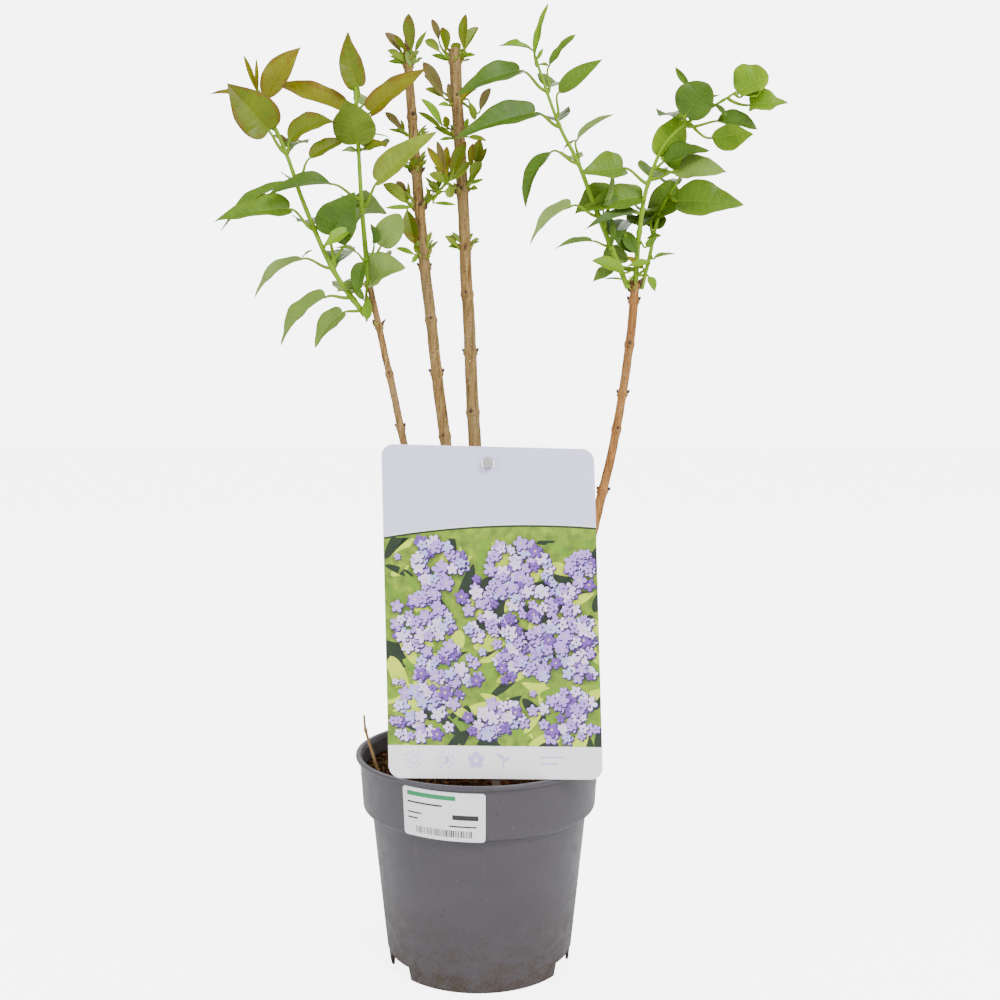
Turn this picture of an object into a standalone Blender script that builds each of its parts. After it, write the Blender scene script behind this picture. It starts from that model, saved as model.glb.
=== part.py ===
# A young lilac in its nursery pot: four woody stems from one root crown, green shoots,
# masses of leaves, and the pot with its potting mix, label card, stick, price sticker and twig.
# +Z is up, +X is to the viewer's right, +Y is away from the viewer.
# The origin is the middle of the pot's underside. Sizes below are in millimetres.
import math

import bmesh
import bpy
from mathutils import Matrix, Vector, noise

MM = 0.001
GAP = 0.3
TURN_STEPS = 30

POT_HEIGHT = 129.0
LIP_RADIUS = 75.0
LIP_DROP = 2.7
RIM_INNER_RADIUS = 72.2
BAND_TOP_RADIUS = 72.5
BAND_LOW_RADIUS = 70.6
BAND_LOW_HEIGHT = 96.5
SHOULDER_HEIGHT = 94.6
BAND_SLOPE = 0.05
WALL_RADIUS_AT_FLOOR = 55.7
WALL_SLOPE = 0.1009
WALL_THICKNESS = 1.8
FOOT_HEIGHT = 9.0
FOOT_INSET = 0.6
FOOT_THICKNESS = 2.6
FLOOR_UNDERSIDE = 8.7
FLOOR_THICKNESS = 2.0
PAD_RADIUS = 24.0
PAD_SLOPE_OUT = 6.5
NOTCH_AZIMUTHS = (-59.5, 67.5, 187.5)
NOTCH_ARC = 27.0
NOTCH_HEIGHT = 8.0
NOTCH_DEPTH = 14.0
DRAIN_RADIUS = 3.5
DRAIN_CIRCLE = 41.0
DRAIN_COUNT = 6
DRAIN_CUT = 8.0

MIX_EDGE_HEIGHT = 118.4
MIX_MIDDLE_HEIGHT = 120.2
MIX_FLAT_RADIUS = 32.0
MIX_ROUND_RADIUS = 56.0

CROWN_MIDDLE = (6.5, 2.0)
CROWN_SIZE = (19.0, 17.0, 13.0)
STEM_FOOT_HEIGHT = 122.5
FLARE = 1.18
FLARE_HEIGHT = 14.0

# Each stem: foot and tip (across, away), tip height, sideways bow at half height,
# and radii at foot, part way up and tip, with the height of the middle one.
STEMS = {
    "stem_left": {
        "foot": (-2.0, -7.0), "tip": (-64.0, -4.0, 409.5), "bow": 0.0,
        "radii": (2.7, 2.0, 1.7), "knee": 350.0,
    },
    "stem_mid_left": {
        "foot": (10.5, -2.0), "tip": (-41.5, 12.0, 550.0), "bow": -6.5,
        "radii": (3.6, 3.1, 1.5), "knee": 470.0,
    },
    "stem_mid_right": {
        "foot": (4.0, 11.0), "tip": (-14.3, 15.0, 548.5), "bow": 1.5,
        "radii": (4.3, 3.2, 3.4), "knee": 460.0,
    },
    "stem_right": {
        "foot": (17.0, 5.0), "tip": (92.5, 0.0, 410.5), "bow": 14.5,
        "radii": (3.4, 2.4, 2.5), "knee": 330.0,
    },
}

# Each green shoot runs through a few places from its foot on the wood to its growing tip.
SHOOTS = {
    "shoot_left_outer": {
        "places": [
            (-66.6, -5.5, 391.5), (-84.8, -9, 418), (-101, -12, 456), (-110, -15, 483), (-125, -18, 518),
        ],
        "radii": (1.7, 1.0),
    },
    "shoot_left_inner": {
        "places": [(-64.4, -4.2, 410.4), (-66.5, -6, 436), (-68.5, -7, 468), (-70.5, -8, 522)],
        "radii": (1.5, 0.8),
    },
    "shoot_right_a": {
        "places": [
            (88.2, -1.5, 407.5), (70.4, -3, 449.4), (58.2, -5, 479.5), (46.4, -7, 502), (32.4, -9, 540),
        ],
        "radii": (1.6, 0.9),
    },
    "shoot_right_b": {
        "places": [(92.6, -0.2, 411.4), (94.4, -3, 440), (98.9, -8, 468), (112, -13, 494), (147, -20, 517)],
        "radii": (1.7, 0.8),
    },
    "shoot_right_c": {
        "places": [(96.4, 1.6, 407.5), (101.4, 6, 426), (107.5, 10, 452), (119.5, 14, 473)],
        "radii": (1.4, 0.8),
    },
}

# Each mass of leaves sits on a limb at a height. core is the radius of its thick middle, deep is how far
# it spreads towards and away from the viewer, and reach lists its longest leaves (across, away, up).
LEAF_MASSES = {
    "leaves_left_tip": {
        "on": "shoot_left_outer", "height": 513, "core": 9, "deep": 32,
        "reach": [(-22, -6, 12), (-32, 8, 5), (-13, 0, 29), (22, -4, 34)],
    },
    "leaves_left_upper": {
        "on": "shoot_left_outer", "height": 485, "core": 7, "deep": 30,
        "reach": [(29, -6, 19), (38, 6, 9)],
    },
    "leaves_left_middle": {
        "on": "shoot_left_outer", "height": 461, "core": 8, "deep": 34,
        "reach": [(-47, 8, -20), (-52, -8, -15), (-34, 0, 5)],
    },
    "leaves_left_heart": {
        "on": "shoot_left_outer", "height": 437, "core": 7, "deep": 34,
        "reach": [(14, 12, 22), (-8, 4, 5)],
    },
    "leaves_left_lower": {
        "on": "shoot_left_outer", "height": 419, "core": 6, "deep": 26,
        "reach": [(-47, -6, -17), (-12, 6, 10)],
    },
    "leaves_left_base": {
        "on": "shoot_left_outer", "height": 402, "core": 6, "deep": 26,
        "reach": [(-43, -8, -27), (-21, 8, -29), (-19, 0, 8)],
    },
    "leaves_inner_top": {
        "on": "shoot_left_inner", "height": 514, "core": 7, "deep": 32,
        "reach": [(-3, 0, 38), (-51, 6, 8), (42, -12, 19)],
    },
    "leaves_inner_upper": {
        "on": "shoot_left_inner", "height": 489, "core": 9, "deep": 36,
        "reach": [(-8, -12, 22), (18, -2, 2), (-14, 6, -2)],
    },
    "leaves_inner_right": {
        "on": "shoot_left_inner", "height": 462, "core": 8, "deep": 34,
        "reach": [(44, -14, 37), (-54, -25, 1)],
    },
    "leaves_inner_middle": {
        "on": "shoot_left_inner", "height": 437, "core": 9, "deep": 40,
        "reach": [(20, 4, 11), (-12, 10, 2)],
    },
    "leaves_inner_base": {
        "on": "shoot_left_inner", "height": 419, "core": 7, "deep": 30,
        "reach": [(22, -6, 0), (-15, -2, -13)],
    },
    "leaves_right_a_tip": {
        "on": "shoot_right_a", "height": 534, "core": 6, "deep": 24,
        "reach": [(7, 0, 38), (-22, 4, 10), (23, -6, 20)],
    },
    "leaves_right_a_upper": {
        "on": "shoot_right_a", "height": 517, "core": 6, "deep": 32,
        "reach": [(-54, -8, 3), (31, 6, 23)],
    },
    "leaves_right_a_left": {
        "on": "shoot_right_a", "height": 500, "core": 6, "deep": 32,
        "reach": [(-61, -8, -7), (10, 8, 6)],
    },
    "leaves_right_a_middle": {
        "on": "shoot_right_a", "height": 479, "core": 7, "deep": 36,
        "reach": [(22, 2, 28), (-31, 4, -27)],
    },
    "leaves_right_a_lower": {
        "on": "shoot_right_a", "height": 447, "core": 7, "deep": 34,
        "reach": [(-41, -6, -14), (-27, 8, -16), (-15, 6, 6)],
    },
    "leaves_right_b_tip": {
        "on": "shoot_right_b", "height": 515.5, "core": 8, "deep": 26,
        "reach": [(12, 0, 20), (34, -8, -4), (24, 4, 8)],
    },
    "leaves_right_b_upper": {
        "on": "shoot_right_b", "height": 501, "core": 9, "deep": 36,
        "reach": [(-6, 4, 22), (14, 10, 24), (40, -4, -8)],
    },
    "leaves_right_b_middle": {
        "on": "shoot_right_b", "height": 481, "core": 8, "deep": 36,
        "reach": [(44, -8, 3), (33, 6, -7)],
    },
    "leaves_right_b_left": {
        "on": "shoot_right_b", "height": 462, "core": 7, "deep": 34,
        "reach": [(-34, 14, 9), (-22, -10, 0)],
    },
    "leaves_right_b_lower": {
        "on": "shoot_right_b", "height": 443, "core": 6, "deep": 30,
        "reach": [(-31, 10, -4), (10, -12, 3)],
    },
    "leaves_right_c": {
        "on": "shoot_right_c", "height": 456, "core": 8, "deep": 36,
        "reach": [(46, 0, 0), (28, 4, 14), (25, -4, -10)],
    },
    "leaves_right_base": {
        "on": "shoot_right_b", "height": 421, "core": 8, "deep": 34,
        "reach": [(-26, -6, -2), (-25, 6, -12), (22, 4, 4), (9, -8, -12)],
    },
}

LEAF_FULLNESS = 0.8
LEAF_SHARPNESS = 11

# The young tufts on the two bare stems are small, so they are coarser.
TUFTS = {
    "tuft_mid_left_top": {
        "on": "stem_mid_left", "height": 545, "core": 5.5, "deep": 14,
        "reach": [(1, 0, 22), (-14, 3, 9), (12, -4, 11)],
    },
    "tuft_mid_left_upper": {
        "on": "stem_mid_left", "height": 478, "core": 5, "deep": 8,
        "reach": [(-10, 0, 3), (7, -3, 4)],
    },
    "tuft_mid_left_middle": {
        "on": "stem_mid_left", "height": 455, "core": 6, "deep": 18,
        "reach": [(-22, -4, 12), (-9, -3, -20), (21, 3, 1), (20, -4, 34)],
    },
    "tuft_mid_left_lower": {
        "on": "stem_mid_left", "height": 427, "core": 5, "deep": 9,
        "reach": [(-16, -3, 3), (5, -5, 13)],
    },
    "tuft_mid_right_top": {
        "on": "stem_mid_right", "height": 542, "core": 6.5, "deep": 16,
        "reach": [(-13, -2, 20), (-17, 2, 8), (7, 0, 24), (13, -3, 17)],
    },
    "tuft_mid_right_upper": {
        "on": "stem_mid_right", "height": 517, "core": 5.5, "deep": 16,
        "reach": [(-19, -3, 16), (19, 0, 6), (11, -4, -12)],
    },
    "tuft_mid_right_middle": {
        "on": "stem_mid_right", "height": 494, "core": 5.5, "deep": 15,
        "reach": [(-24, -2, 12), (13, -3, -2)],
    },
    "tuft_mid_right_lower": {
        "on": "stem_mid_right", "height": 461, "core": 5.5, "deep": 16,
        "reach": [(6, -4, 27), (14, -2, 22), (12, 3, 6)],
    },
}

CARD_WIDTH = 121.0
CARD_HEIGHT = 188.0
CARD_THICKNESS = 0.8
CARD_CORNER = 8.0
CARD_FOOT = (8.0, -61.0, 129.6)
CARD_LEAN_BACK = 7.0
HOLE_UP = 178.5
HOLE_RADIUS = 3.75
HOLE_CUT = 4.0
PEG_RADIUS = 3.2
PEG_OUT = 5.0
STICK_WIDTH = 5.0
STICK_THICKNESS = 2.0
STICK_CLEAR = 0.5
STICK_ABOVE_MIX_EDGE = 1.1
STICK_ABOVE_HOLE = 6.0

STICKER_AZIMUTHS = (-36.2, 3.4)
STICKER_HEIGHTS = (97.0, 124.5)
STICKER_THICKNESS = 0.3

TWIG_PLACES = [(-60.0, -16.0, 119.9), (-63.0, -17, 130), (-67.4, -18, 147), (-68.2, -18, 155)]
TWIG_RADII = (0.9, 0.6)

COLOURS = {
    "pot_plastic": ((0.15, 0.145, 0.16), 0.42),
    "potting_mix": ((0.05, 0.028, 0.016), 0.95),
    "bark": ((0.36, 0.24, 0.13), 0.75),
    "green_shoot": ((0.30, 0.45, 0.12), 0.5),
    "leaf": ((0.20, 0.34, 0.09), 0.5),
    "young_leaf": ((0.33, 0.30, 0.10), 0.5),
    "card": ((0.82, 0.81, 0.93), 0.35),
    "stick": ((0.62, 0.63, 0.64), 0.4),
    "sticker": ((0.88, 0.89, 0.9), 0.4),
    "dry_twig": ((0.5, 0.36, 0.19), 0.8),
}


def clear_scene():
    for ob in list(bpy.data.objects):
        bpy.data.objects.remove(ob, do_unlink=True)


def new_collection(name):
    collection = bpy.data.collections.new(name)
    bpy.context.scene.collection.children.link(collection)
    return collection


def material(name):
    mat = bpy.data.materials.get(name)
    if mat is None:
        colour, roughness = COLOURS[name]
        mat = bpy.data.materials.new(name)
        mat.use_nodes = True
        shader = mat.node_tree.nodes["Principled BSDF"]
        shader.inputs["Base Color"].default_value = (*colour, 1.0)
        shader.inputs["Roughness"].default_value = roughness
        shader.inputs["Metallic"].default_value = 0.0
    return mat


def add_object(name, mesh, mat_name, collection):
    ob = bpy.data.objects.new(name, mesh)
    collection.objects.link(ob)
    if mat_name:
        mesh.materials.append(material(mat_name))
    else:
        ob.hide_render = True
        ob.display_type = "WIRE"
    return ob


def bmesh_object(name, bm, mat_name, collection):
    mesh = bpy.data.meshes.new(name)
    bm.to_mesh(mesh)
    bm.free()
    return add_object(name, mesh, mat_name, collection)


def smooth(ob, angle=40.0):
    ob.data.shade_smooth()
    ob.data.set_sharp_from_angle(angle=math.radians(angle))


def cut(ob, cutter):
    mod = ob.modifiers.new("cut_" + cutter.name, "BOOLEAN")
    mod.operation = "DIFFERENCE"
    mod.solver = "EXACT"
    mod.object = cutter
    return mod


def turned(name, profile, mat_name, collection, steps=TURN_STEPS):
    # An open outline of (radius, height) from axis to axis, its outer side running downwards.
    mesh = bpy.data.meshes.new(name)
    points = [(r * MM, 0.0, z * MM) for r, z in profile]
    edges = [(i, i + 1) for i in range(len(points) - 1)]
    mesh.from_pydata(points, edges, [])
    ob = add_object(name, mesh, mat_name, collection)
    mod = ob.modifiers.new("turn", "SCREW")
    mod.axis = "Z"
    mod.steps = steps
    mod.render_steps = steps
    mod.use_merge_vertices = True
    mod.merge_threshold = 0.0001
    mod.use_smooth_shade = True
    return ob


def wall_radius(height):
    return WALL_RADIUS_AT_FLOOR + WALL_SLOPE * height


def inner_outline():
    # Inside of the pot, from the middle of the floor up to just under the rim.
    floor_top = FLOOR_UNDERSIDE + FLOOR_THICKNESS
    return [
        (PAD_RADIUS - 1.0, FLOOR_THICKNESS),
        (PAD_RADIUS + PAD_SLOPE_OUT - 1.0, floor_top),
        (wall_radius(floor_top) - WALL_THICKNESS - 1.6, floor_top),
        (wall_radius(floor_top) - WALL_THICKNESS, floor_top + 1.6),
        (wall_radius(SHOULDER_HEIGHT - 1.6) - WALL_THICKNESS, SHOULDER_HEIGHT - 1.6),
        (wall_radius(SHOULDER_HEIGHT) - 0.3, SHOULDER_HEIGHT + 1.4),
        (BAND_LOW_RADIUS - WALL_THICKNESS - 0.6, BAND_LOW_HEIGHT + 0.4),
        (BAND_LOW_RADIUS - WALL_THICKNESS + 0.2, BAND_LOW_HEIGHT + 1.4),
    ]


def pot_outline():
    wall_top = wall_radius(SHOULDER_HEIGHT)
    foot_radius = wall_radius(FOOT_HEIGHT) - FOOT_INSET
    return [
        (0.0, FLOOR_THICKNESS),
        *inner_outline(),
        (BAND_TOP_RADIUS - WALL_THICKNESS, POT_HEIGHT - LIP_DROP),
        (RIM_INNER_RADIUS - 0.5, POT_HEIGHT - 0.5),
        (RIM_INNER_RADIUS, POT_HEIGHT),
        (LIP_RADIUS - 1.2, POT_HEIGHT),
        (LIP_RADIUS - 0.3, POT_HEIGHT - 0.4),
        (LIP_RADIUS, POT_HEIGHT - 1.3),
        (LIP_RADIUS - 0.4, POT_HEIGHT - 2.3),
        (BAND_TOP_RADIUS, POT_HEIGHT - LIP_DROP),
        (BAND_LOW_RADIUS, BAND_LOW_HEIGHT),
        (BAND_LOW_RADIUS - 0.8, BAND_LOW_HEIGHT - 1.4),
        (wall_top + 1.2, SHOULDER_HEIGHT),
        (wall_top, SHOULDER_HEIGHT - 1.2),
        (wall_radius(FOOT_HEIGHT), FOOT_HEIGHT + 0.3),
        (foot_radius, FOOT_HEIGHT - 0.2),
        (foot_radius - 0.7, 0.6),
        (foot_radius - 1.2, 0.0),
        (foot_radius - FOOT_THICKNESS, 0.0),
        (foot_radius - FOOT_THICKNESS, FLOOR_UNDERSIDE),
        (PAD_RADIUS + PAD_SLOPE_OUT, FLOOR_UNDERSIDE),
        (PAD_RADIUS, 0.0),
        (0.0, 0.0),
    ]


def make_pot(parts, cutters):
    pot = turned("pot", pot_outline(), "pot_plastic", parts)
    foot_middle = wall_radius(0) - FOOT_THICKNESS / 2
    notch_width = 2 * foot_middle * math.sin(math.radians(NOTCH_ARC / 2))
    for i, azimuth in enumerate(NOTCH_AZIMUTHS):
        bm = bmesh.new()
        bmesh.ops.create_cube(bm, size=1.0)
        bmesh.ops.scale(bm, vec=Vector((notch_width, NOTCH_DEPTH, 2 * NOTCH_HEIGHT)) * MM, verts=bm.verts)
        turn = Matrix.Rotation(math.radians(azimuth), 4, "Z")
        bmesh.ops.translate(bm, vec=Vector((0, -foot_middle, 0)) * MM, verts=bm.verts)
        bmesh.ops.transform(bm, matrix=turn, verts=bm.verts)
        cut(pot, bmesh_object(f"notch_{i}", bm, None, cutters))
    for i in range(DRAIN_COUNT):
        angle = 2 * math.pi * (i + 0.5) / DRAIN_COUNT
        bm = bmesh.new()
        radius = DRAIN_RADIUS * MM
        bmesh.ops.create_cone(
            bm, cap_ends=True, segments=12, radius1=radius, radius2=radius, depth=DRAIN_CUT * MM
        )
        floor_middle = FLOOR_UNDERSIDE + FLOOR_THICKNESS / 2
        place = Vector((DRAIN_CIRCLE * math.cos(angle), DRAIN_CIRCLE * math.sin(angle), floor_middle)) * MM
        bmesh.ops.translate(bm, vec=place, verts=bm.verts)
        cut(pot, bmesh_object(f"drain_{i}", bm, None, cutters))
    return pot


def make_mix(parts):
    # Fills the pot a gap inside its wall, with a low rounded top.
    inside = inner_outline()
    side = [(r - GAP, z + GAP) for r, z in inside]
    band_inside = BAND_LOW_RADIUS - WALL_THICKNESS + 0.2
    edge = (band_inside - GAP + BAND_SLOPE * (MIX_EDGE_HEIGHT - BAND_LOW_HEIGHT), MIX_EDGE_HEIGHT)
    profile = [
        (0.0, MIX_MIDDLE_HEIGHT),
        (MIX_FLAT_RADIUS, MIX_MIDDLE_HEIGHT - 0.1),
        (MIX_ROUND_RADIUS, MIX_EDGE_HEIGHT + 0.7),
        edge,
        *reversed(side),
        (0.0, FLOOR_THICKNESS + GAP),
    ]
    return turned("potting_mix", profile, "potting_mix", parts)


def catmull_rom(places, count):
    # A smooth path through the places, with end tangents taken from the end runs.
    pts = [Vector(p) for p in places]
    pts = [2 * pts[0] - pts[1]] + pts + [2 * pts[-1] - pts[-2]]
    spans = len(places) - 1
    path = []
    for i in range(count + 1):
        t = spans * i / count
        k = min(int(t), spans - 1)
        u = t - k
        a, b, c, d = pts[k : k + 4]
        square = 2 * a - 5 * b + 4 * c - d
        cube = 3 * b - a - 3 * c + d
        path.append(0.5 * (2 * b + (c - a) * u + square * u ** 2 + cube * u ** 3))
    return path


def stem_path(stem, count=9):
    foot = Vector((*stem["foot"], STEM_FOOT_HEIGHT))
    tip = Vector(stem["tip"])
    bow = Vector((stem["bow"], 0, 0))
    path = []
    for i in range(count + 1):
        t = i / count
        path.append(foot.lerp(tip, t) + bow * 4 * t * (1 - t))
    return path


def stem_radius(stem, height):
    low, middle, high = stem["radii"]
    knee, top = stem["knee"], stem["tip"][2]
    if height < knee:
        radius = low + (middle - low) * (height - STEM_FOOT_HEIGHT) / (knee - STEM_FOOT_HEIGHT)
    else:
        radius = middle + (high - middle) * (height - knee) / (top - knee)
    spread = max(0.0, 1 - (height - STEM_FOOT_HEIGHT) / FLARE_HEIGHT)
    return radius * (1 + (FLARE - 1) * spread)


def limb_mesh(name, path, radii, sides=8):
    # A tapering tube through the path, made a mesh with its caps welded on.
    curve = bpy.data.curves.new(name, "CURVE")
    curve.dimensions = "3D"
    curve.bevel_depth = MM
    curve.bevel_resolution = sides // 2 - 2
    curve.use_fill_caps = True
    spline = curve.splines.new("POLY")
    spline.points.add(len(path) - 1)
    for point, place, radius in zip(spline.points, path, radii):
        point.co = (*(place * MM), 1.0)
        point.radius = radius
    ob = bpy.data.objects.new(name, curve)
    bpy.context.scene.collection.objects.link(ob)
    bpy.context.view_layer.update()
    mesh = bpy.data.meshes.new_from_object(ob.evaluated_get(bpy.context.evaluated_depsgraph_get()))
    bpy.data.objects.remove(ob, do_unlink=True)
    bm = bmesh.new()
    bm.from_mesh(mesh)
    bmesh.ops.remove_doubles(bm, verts=bm.verts, dist=0.00001)
    bmesh.ops.recalc_face_normals(bm, faces=bm.faces)
    bm.to_mesh(mesh)
    bm.free()
    return mesh


def make_limb(name, path, radii, mat_name, collections, sides):
    parts, cutters = collections
    ob = add_object(name, limb_mesh(name, path, radii, sides), mat_name, parts)
    smooth(ob)
    wider = [r + GAP for r in radii]
    longer = list(path)
    longer[0] = path[0] + (path[0] - path[1]).normalized() * GAP
    longer[-1] = path[-1] + (path[-1] - path[-2]).normalized() * GAP
    room = add_object(name + "_room", limb_mesh(name + "_room", longer, wider, sides), None, cutters)
    return {"path": path, "room": room}


def make_limbs(collections):
    limbs = {}
    for name, stem in STEMS.items():
        path = stem_path(stem)
        radii = [stem_radius(stem, p.z) for p in path]
        limbs[name] = make_limb(name, path, radii, "bark", collections, 8)
    for name, shoot in SHOOTS.items():
        path = catmull_rom(shoot["places"], 8)
        foot, tip = shoot["radii"]
        radii = [foot + (tip - foot) * i / 8 for i in range(9)]
        limbs[name] = make_limb(name, path, radii, "green_shoot", collections, 6)
    return limbs


def make_root_crown(parts, cutters, limbs):
    # A low woody knot on the mix, with sockets for the four stems.
    bm = bmesh.new()
    bmesh.ops.create_uvsphere(bm, u_segments=12, v_segments=8, radius=1.0)
    ground = MIX_MIDDLE_HEIGHT + GAP
    for vert in bm.verts:
        bump = 1 + 0.12 * noise.noise(vert.co * 1.7 + Vector((3.1, 0.4, 7.7)))
        x, y, z = (c * s * bump for c, s in zip(vert.co, CROWN_SIZE))
        height = max(ground, ground - 1.0 + z)
        vert.co = Vector((CROWN_MIDDLE[0] + x, CROWN_MIDDLE[1] + y, height)) * MM
    under = [v for v in bm.verts if v.co.z <= ground * MM + 1e-7]
    flat_faces = [f for f in bm.faces if all(v in under for v in f.verts)]
    bmesh.ops.dissolve_faces(bm, faces=flat_faces)
    bmesh.ops.triangulate(bm, faces=[f for f in bm.faces if len(f.verts) > 3])
    crown = bmesh_object("root_crown", bm, "bark", parts)
    smooth(crown)
    for name in STEMS:
        cut(crown, limbs[name]["room"])
    return crown


def place_at_height(path, height):
    for low, high in zip(path, path[1:]):
        if low.z <= height <= high.z:
            return low.lerp(high, (height - low.z) / (high.z - low.z))
    return path[-1].copy()


def mass_bmesh(centre, plan, seed, fine, swell):
    # A ball whose radius swells out to the tip of each long leaf; the vertex nearest a tip lands on it.
    bm = bmesh.new()
    if fine:
        bmesh.ops.create_uvsphere(bm, u_segments=10, v_segments=7, radius=1.0)
    else:
        bmesh.ops.create_icosphere(bm, subdivisions=2, radius=1.0)
    deep = plan["deep"]
    reach = [Vector(r) for r in plan["reach"]]
    reach += [Vector((0.3 * deep, deep, 0.2 * deep)), Vector((-0.3 * deep, -0.8 * deep, 0.1 * deep))]
    shift = Vector((seed * 3.7, seed * 1.3, seed * 0.9))
    nearest = {}
    for tip in reach:
        vert = max(bm.verts, key=lambda v: v.co.dot(tip.normalized()))
        nearest[vert.index] = tip
    bm.verts.ensure_lookup_table()
    for vert in bm.verts:
        ray = vert.co.normalized()
        radius = plan["core"] * (1 + 0.22 * noise.noise(ray * 1.9 + shift))
        for tip in reach:
            along = max(0.0, ray.dot(tip.normalized()))
            swelling = (tip.length - plan["core"]) * LEAF_FULLNESS * along ** LEAF_SHARPNESS
            radius = max(radius, plan["core"] * 0.9 + swelling)
        place = ray * radius
        if vert.index in nearest:
            place = nearest[vert.index]
        vert.co = (centre + place + place.normalized() * swell) * MM
    return bm


def box_of(bm):
    lows = Vector([min(v.co[i] for v in bm.verts) for i in range(3)])
    highs = Vector([max(v.co[i] for v in bm.verts) for i in range(3)])
    return lows, highs


def boxes_meet(a, b, room=0.0005):
    return all(a[0][i] - room < b[1][i] and b[0][i] - room < a[1][i] for i in range(3))


def make_masses(parts, cutters, limbs):
    # Each mass is cut round every limb near it, and round the masses made before it.
    limb_boxes = {}
    for name, limb in limbs.items():
        bm = bmesh.new()
        bm.from_mesh(limb["room"].data)
        limb_boxes[name] = box_of(bm)
        bm.free()
    made = []
    plans = list(LEAF_MASSES.items()) + list(TUFTS.items())
    for seed, (name, plan) in enumerate(plans, start=1):
        fine = name in LEAF_MASSES
        centre = place_at_height(limbs[plan["on"]]["path"], plan["height"])
        bm = mass_bmesh(centre, plan, seed, fine, 0.0)
        box = box_of(bm)
        ob = bmesh_object(name, bm, "leaf" if fine else "young_leaf", parts)
        smooth(ob, 60.0)
        for limb_name, limb_box in limb_boxes.items():
            if boxes_meet(box, limb_box):
                cut(ob, limbs[limb_name]["room"])
        for other_box, other_room in made:
            if boxes_meet(box, other_box):
                cut(ob, other_room)
        room_bm = mass_bmesh(centre, plan, seed, fine, 2 * GAP)
        made.append((box, bmesh_object(name + "_room", room_bm, None, cutters)))


def card_matrix():
    lean = Matrix.Rotation(math.radians(-CARD_LEAN_BACK), 4, "X")
    return Matrix.Translation(Vector(CARD_FOOT) * MM) @ lean


def rounded_outline(width, height, corner, arc_points=4):
    outline = []
    for cx, cy, start in (
        (width / 2 - corner, height - corner, 0),
        (-width / 2 + corner, height - corner, 90),
        (-width / 2 + corner, corner, 180),
        (width / 2 - corner, corner, 270),
    ):
        for i in range(arc_points + 1):
            angle = math.radians(start + 90 * i / arc_points)
            outline.append((cx + corner * math.cos(angle), cy + corner * math.sin(angle)))
    return outline


def make_card(parts, cutters):
    curve = bpy.data.curves.new("card_outline", "CURVE")
    curve.dimensions = "2D"
    curve.fill_mode = "BOTH"
    curve.extrude = CARD_THICKNESS / 2 * MM
    spline = curve.splines.new("POLY")
    outline = rounded_outline(CARD_WIDTH, CARD_HEIGHT, CARD_CORNER)
    spline.points.add(len(outline) - 1)
    spline.use_cyclic_u = True
    for point, (x, y) in zip(spline.points, outline):
        point.co = (x * MM, y * MM, 0.0, 1.0)
    flat = bpy.data.objects.new("card_outline", curve)
    bpy.context.scene.collection.objects.link(flat)
    bpy.context.view_layer.update()
    mesh = bpy.data.meshes.new_from_object(flat.evaluated_get(bpy.context.evaluated_depsgraph_get()))
    bpy.data.objects.remove(flat, do_unlink=True)
    bm = bmesh.new()
    bm.from_mesh(mesh)
    bmesh.ops.remove_doubles(bm, verts=bm.verts, dist=0.00001)
    bmesh.ops.transform(bm, matrix=card_matrix() @ Matrix.Rotation(math.radians(90), 4, "X"), verts=bm.verts)
    bmesh.ops.recalc_face_normals(bm, faces=bm.faces)
    bpy.data.meshes.remove(mesh)
    card = bmesh_object("label_card", bm, "card", parts)
    cut(card, peg_cylinder("card_hole", HOLE_RADIUS, (-HOLE_CUT, HOLE_CUT), None, cutters))
    return card


def peg_cylinder(name, radius, run, mat_name, collection):
    # A round rod through the card's hole; run is how far it reaches in front (negative) and behind.
    bm = bmesh.new()
    bmesh.ops.create_cone(
        bm, cap_ends=True, segments=14, radius1=radius * MM, radius2=radius * MM, depth=(run[1] - run[0]) * MM
    )
    bmesh.ops.rotate(bm, matrix=Matrix.Rotation(math.radians(90), 3, "X"), verts=bm.verts)
    bmesh.ops.translate(bm, vec=Vector((0, (run[0] + run[1]) / 2, HOLE_UP)) * MM, verts=bm.verts)
    bmesh.ops.transform(bm, matrix=card_matrix(), verts=bm.verts)
    return bmesh_object(name, bm, mat_name, collection)


def make_stick(parts, cutters):
    # A slim stick behind the card, from the mix up to the peg that holds the card.
    back = CARD_THICKNESS / 2 + STICK_CLEAR
    lean = math.radians(CARD_LEAN_BACK)
    foot_up = (MIX_EDGE_HEIGHT + STICK_ABOVE_MIX_EDGE - CARD_FOOT[2]) / math.cos(lean)
    top_up = HOLE_UP + STICK_ABOVE_HOLE
    bm = bmesh.new()
    bmesh.ops.create_cube(bm, size=1.0)
    size = Vector((STICK_WIDTH, STICK_THICKNESS, top_up - foot_up)) * MM
    bmesh.ops.scale(bm, vec=size, verts=bm.verts)
    middle = Vector((0, back + STICK_THICKNESS / 2, (top_up + foot_up) / 2)) * MM
    bmesh.ops.translate(bm, vec=middle, verts=bm.verts)
    bmesh.ops.transform(bm, matrix=card_matrix(), verts=bm.verts)
    stick = bmesh_object("label_stick", bm, "stick", parts)
    bevel = stick.modifiers.new("edge", "BEVEL")
    bevel.width = 0.4 * MM
    bevel.segments = 1
    peg = peg_cylinder("peg", PEG_RADIUS, (-PEG_OUT, back + STICK_THICKNESS / 2), None, cutters)
    join = stick.modifiers.new("peg", "BOOLEAN")
    join.operation = "UNION"
    join.solver = "EXACT"
    join.object = peg
    return stick


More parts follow.
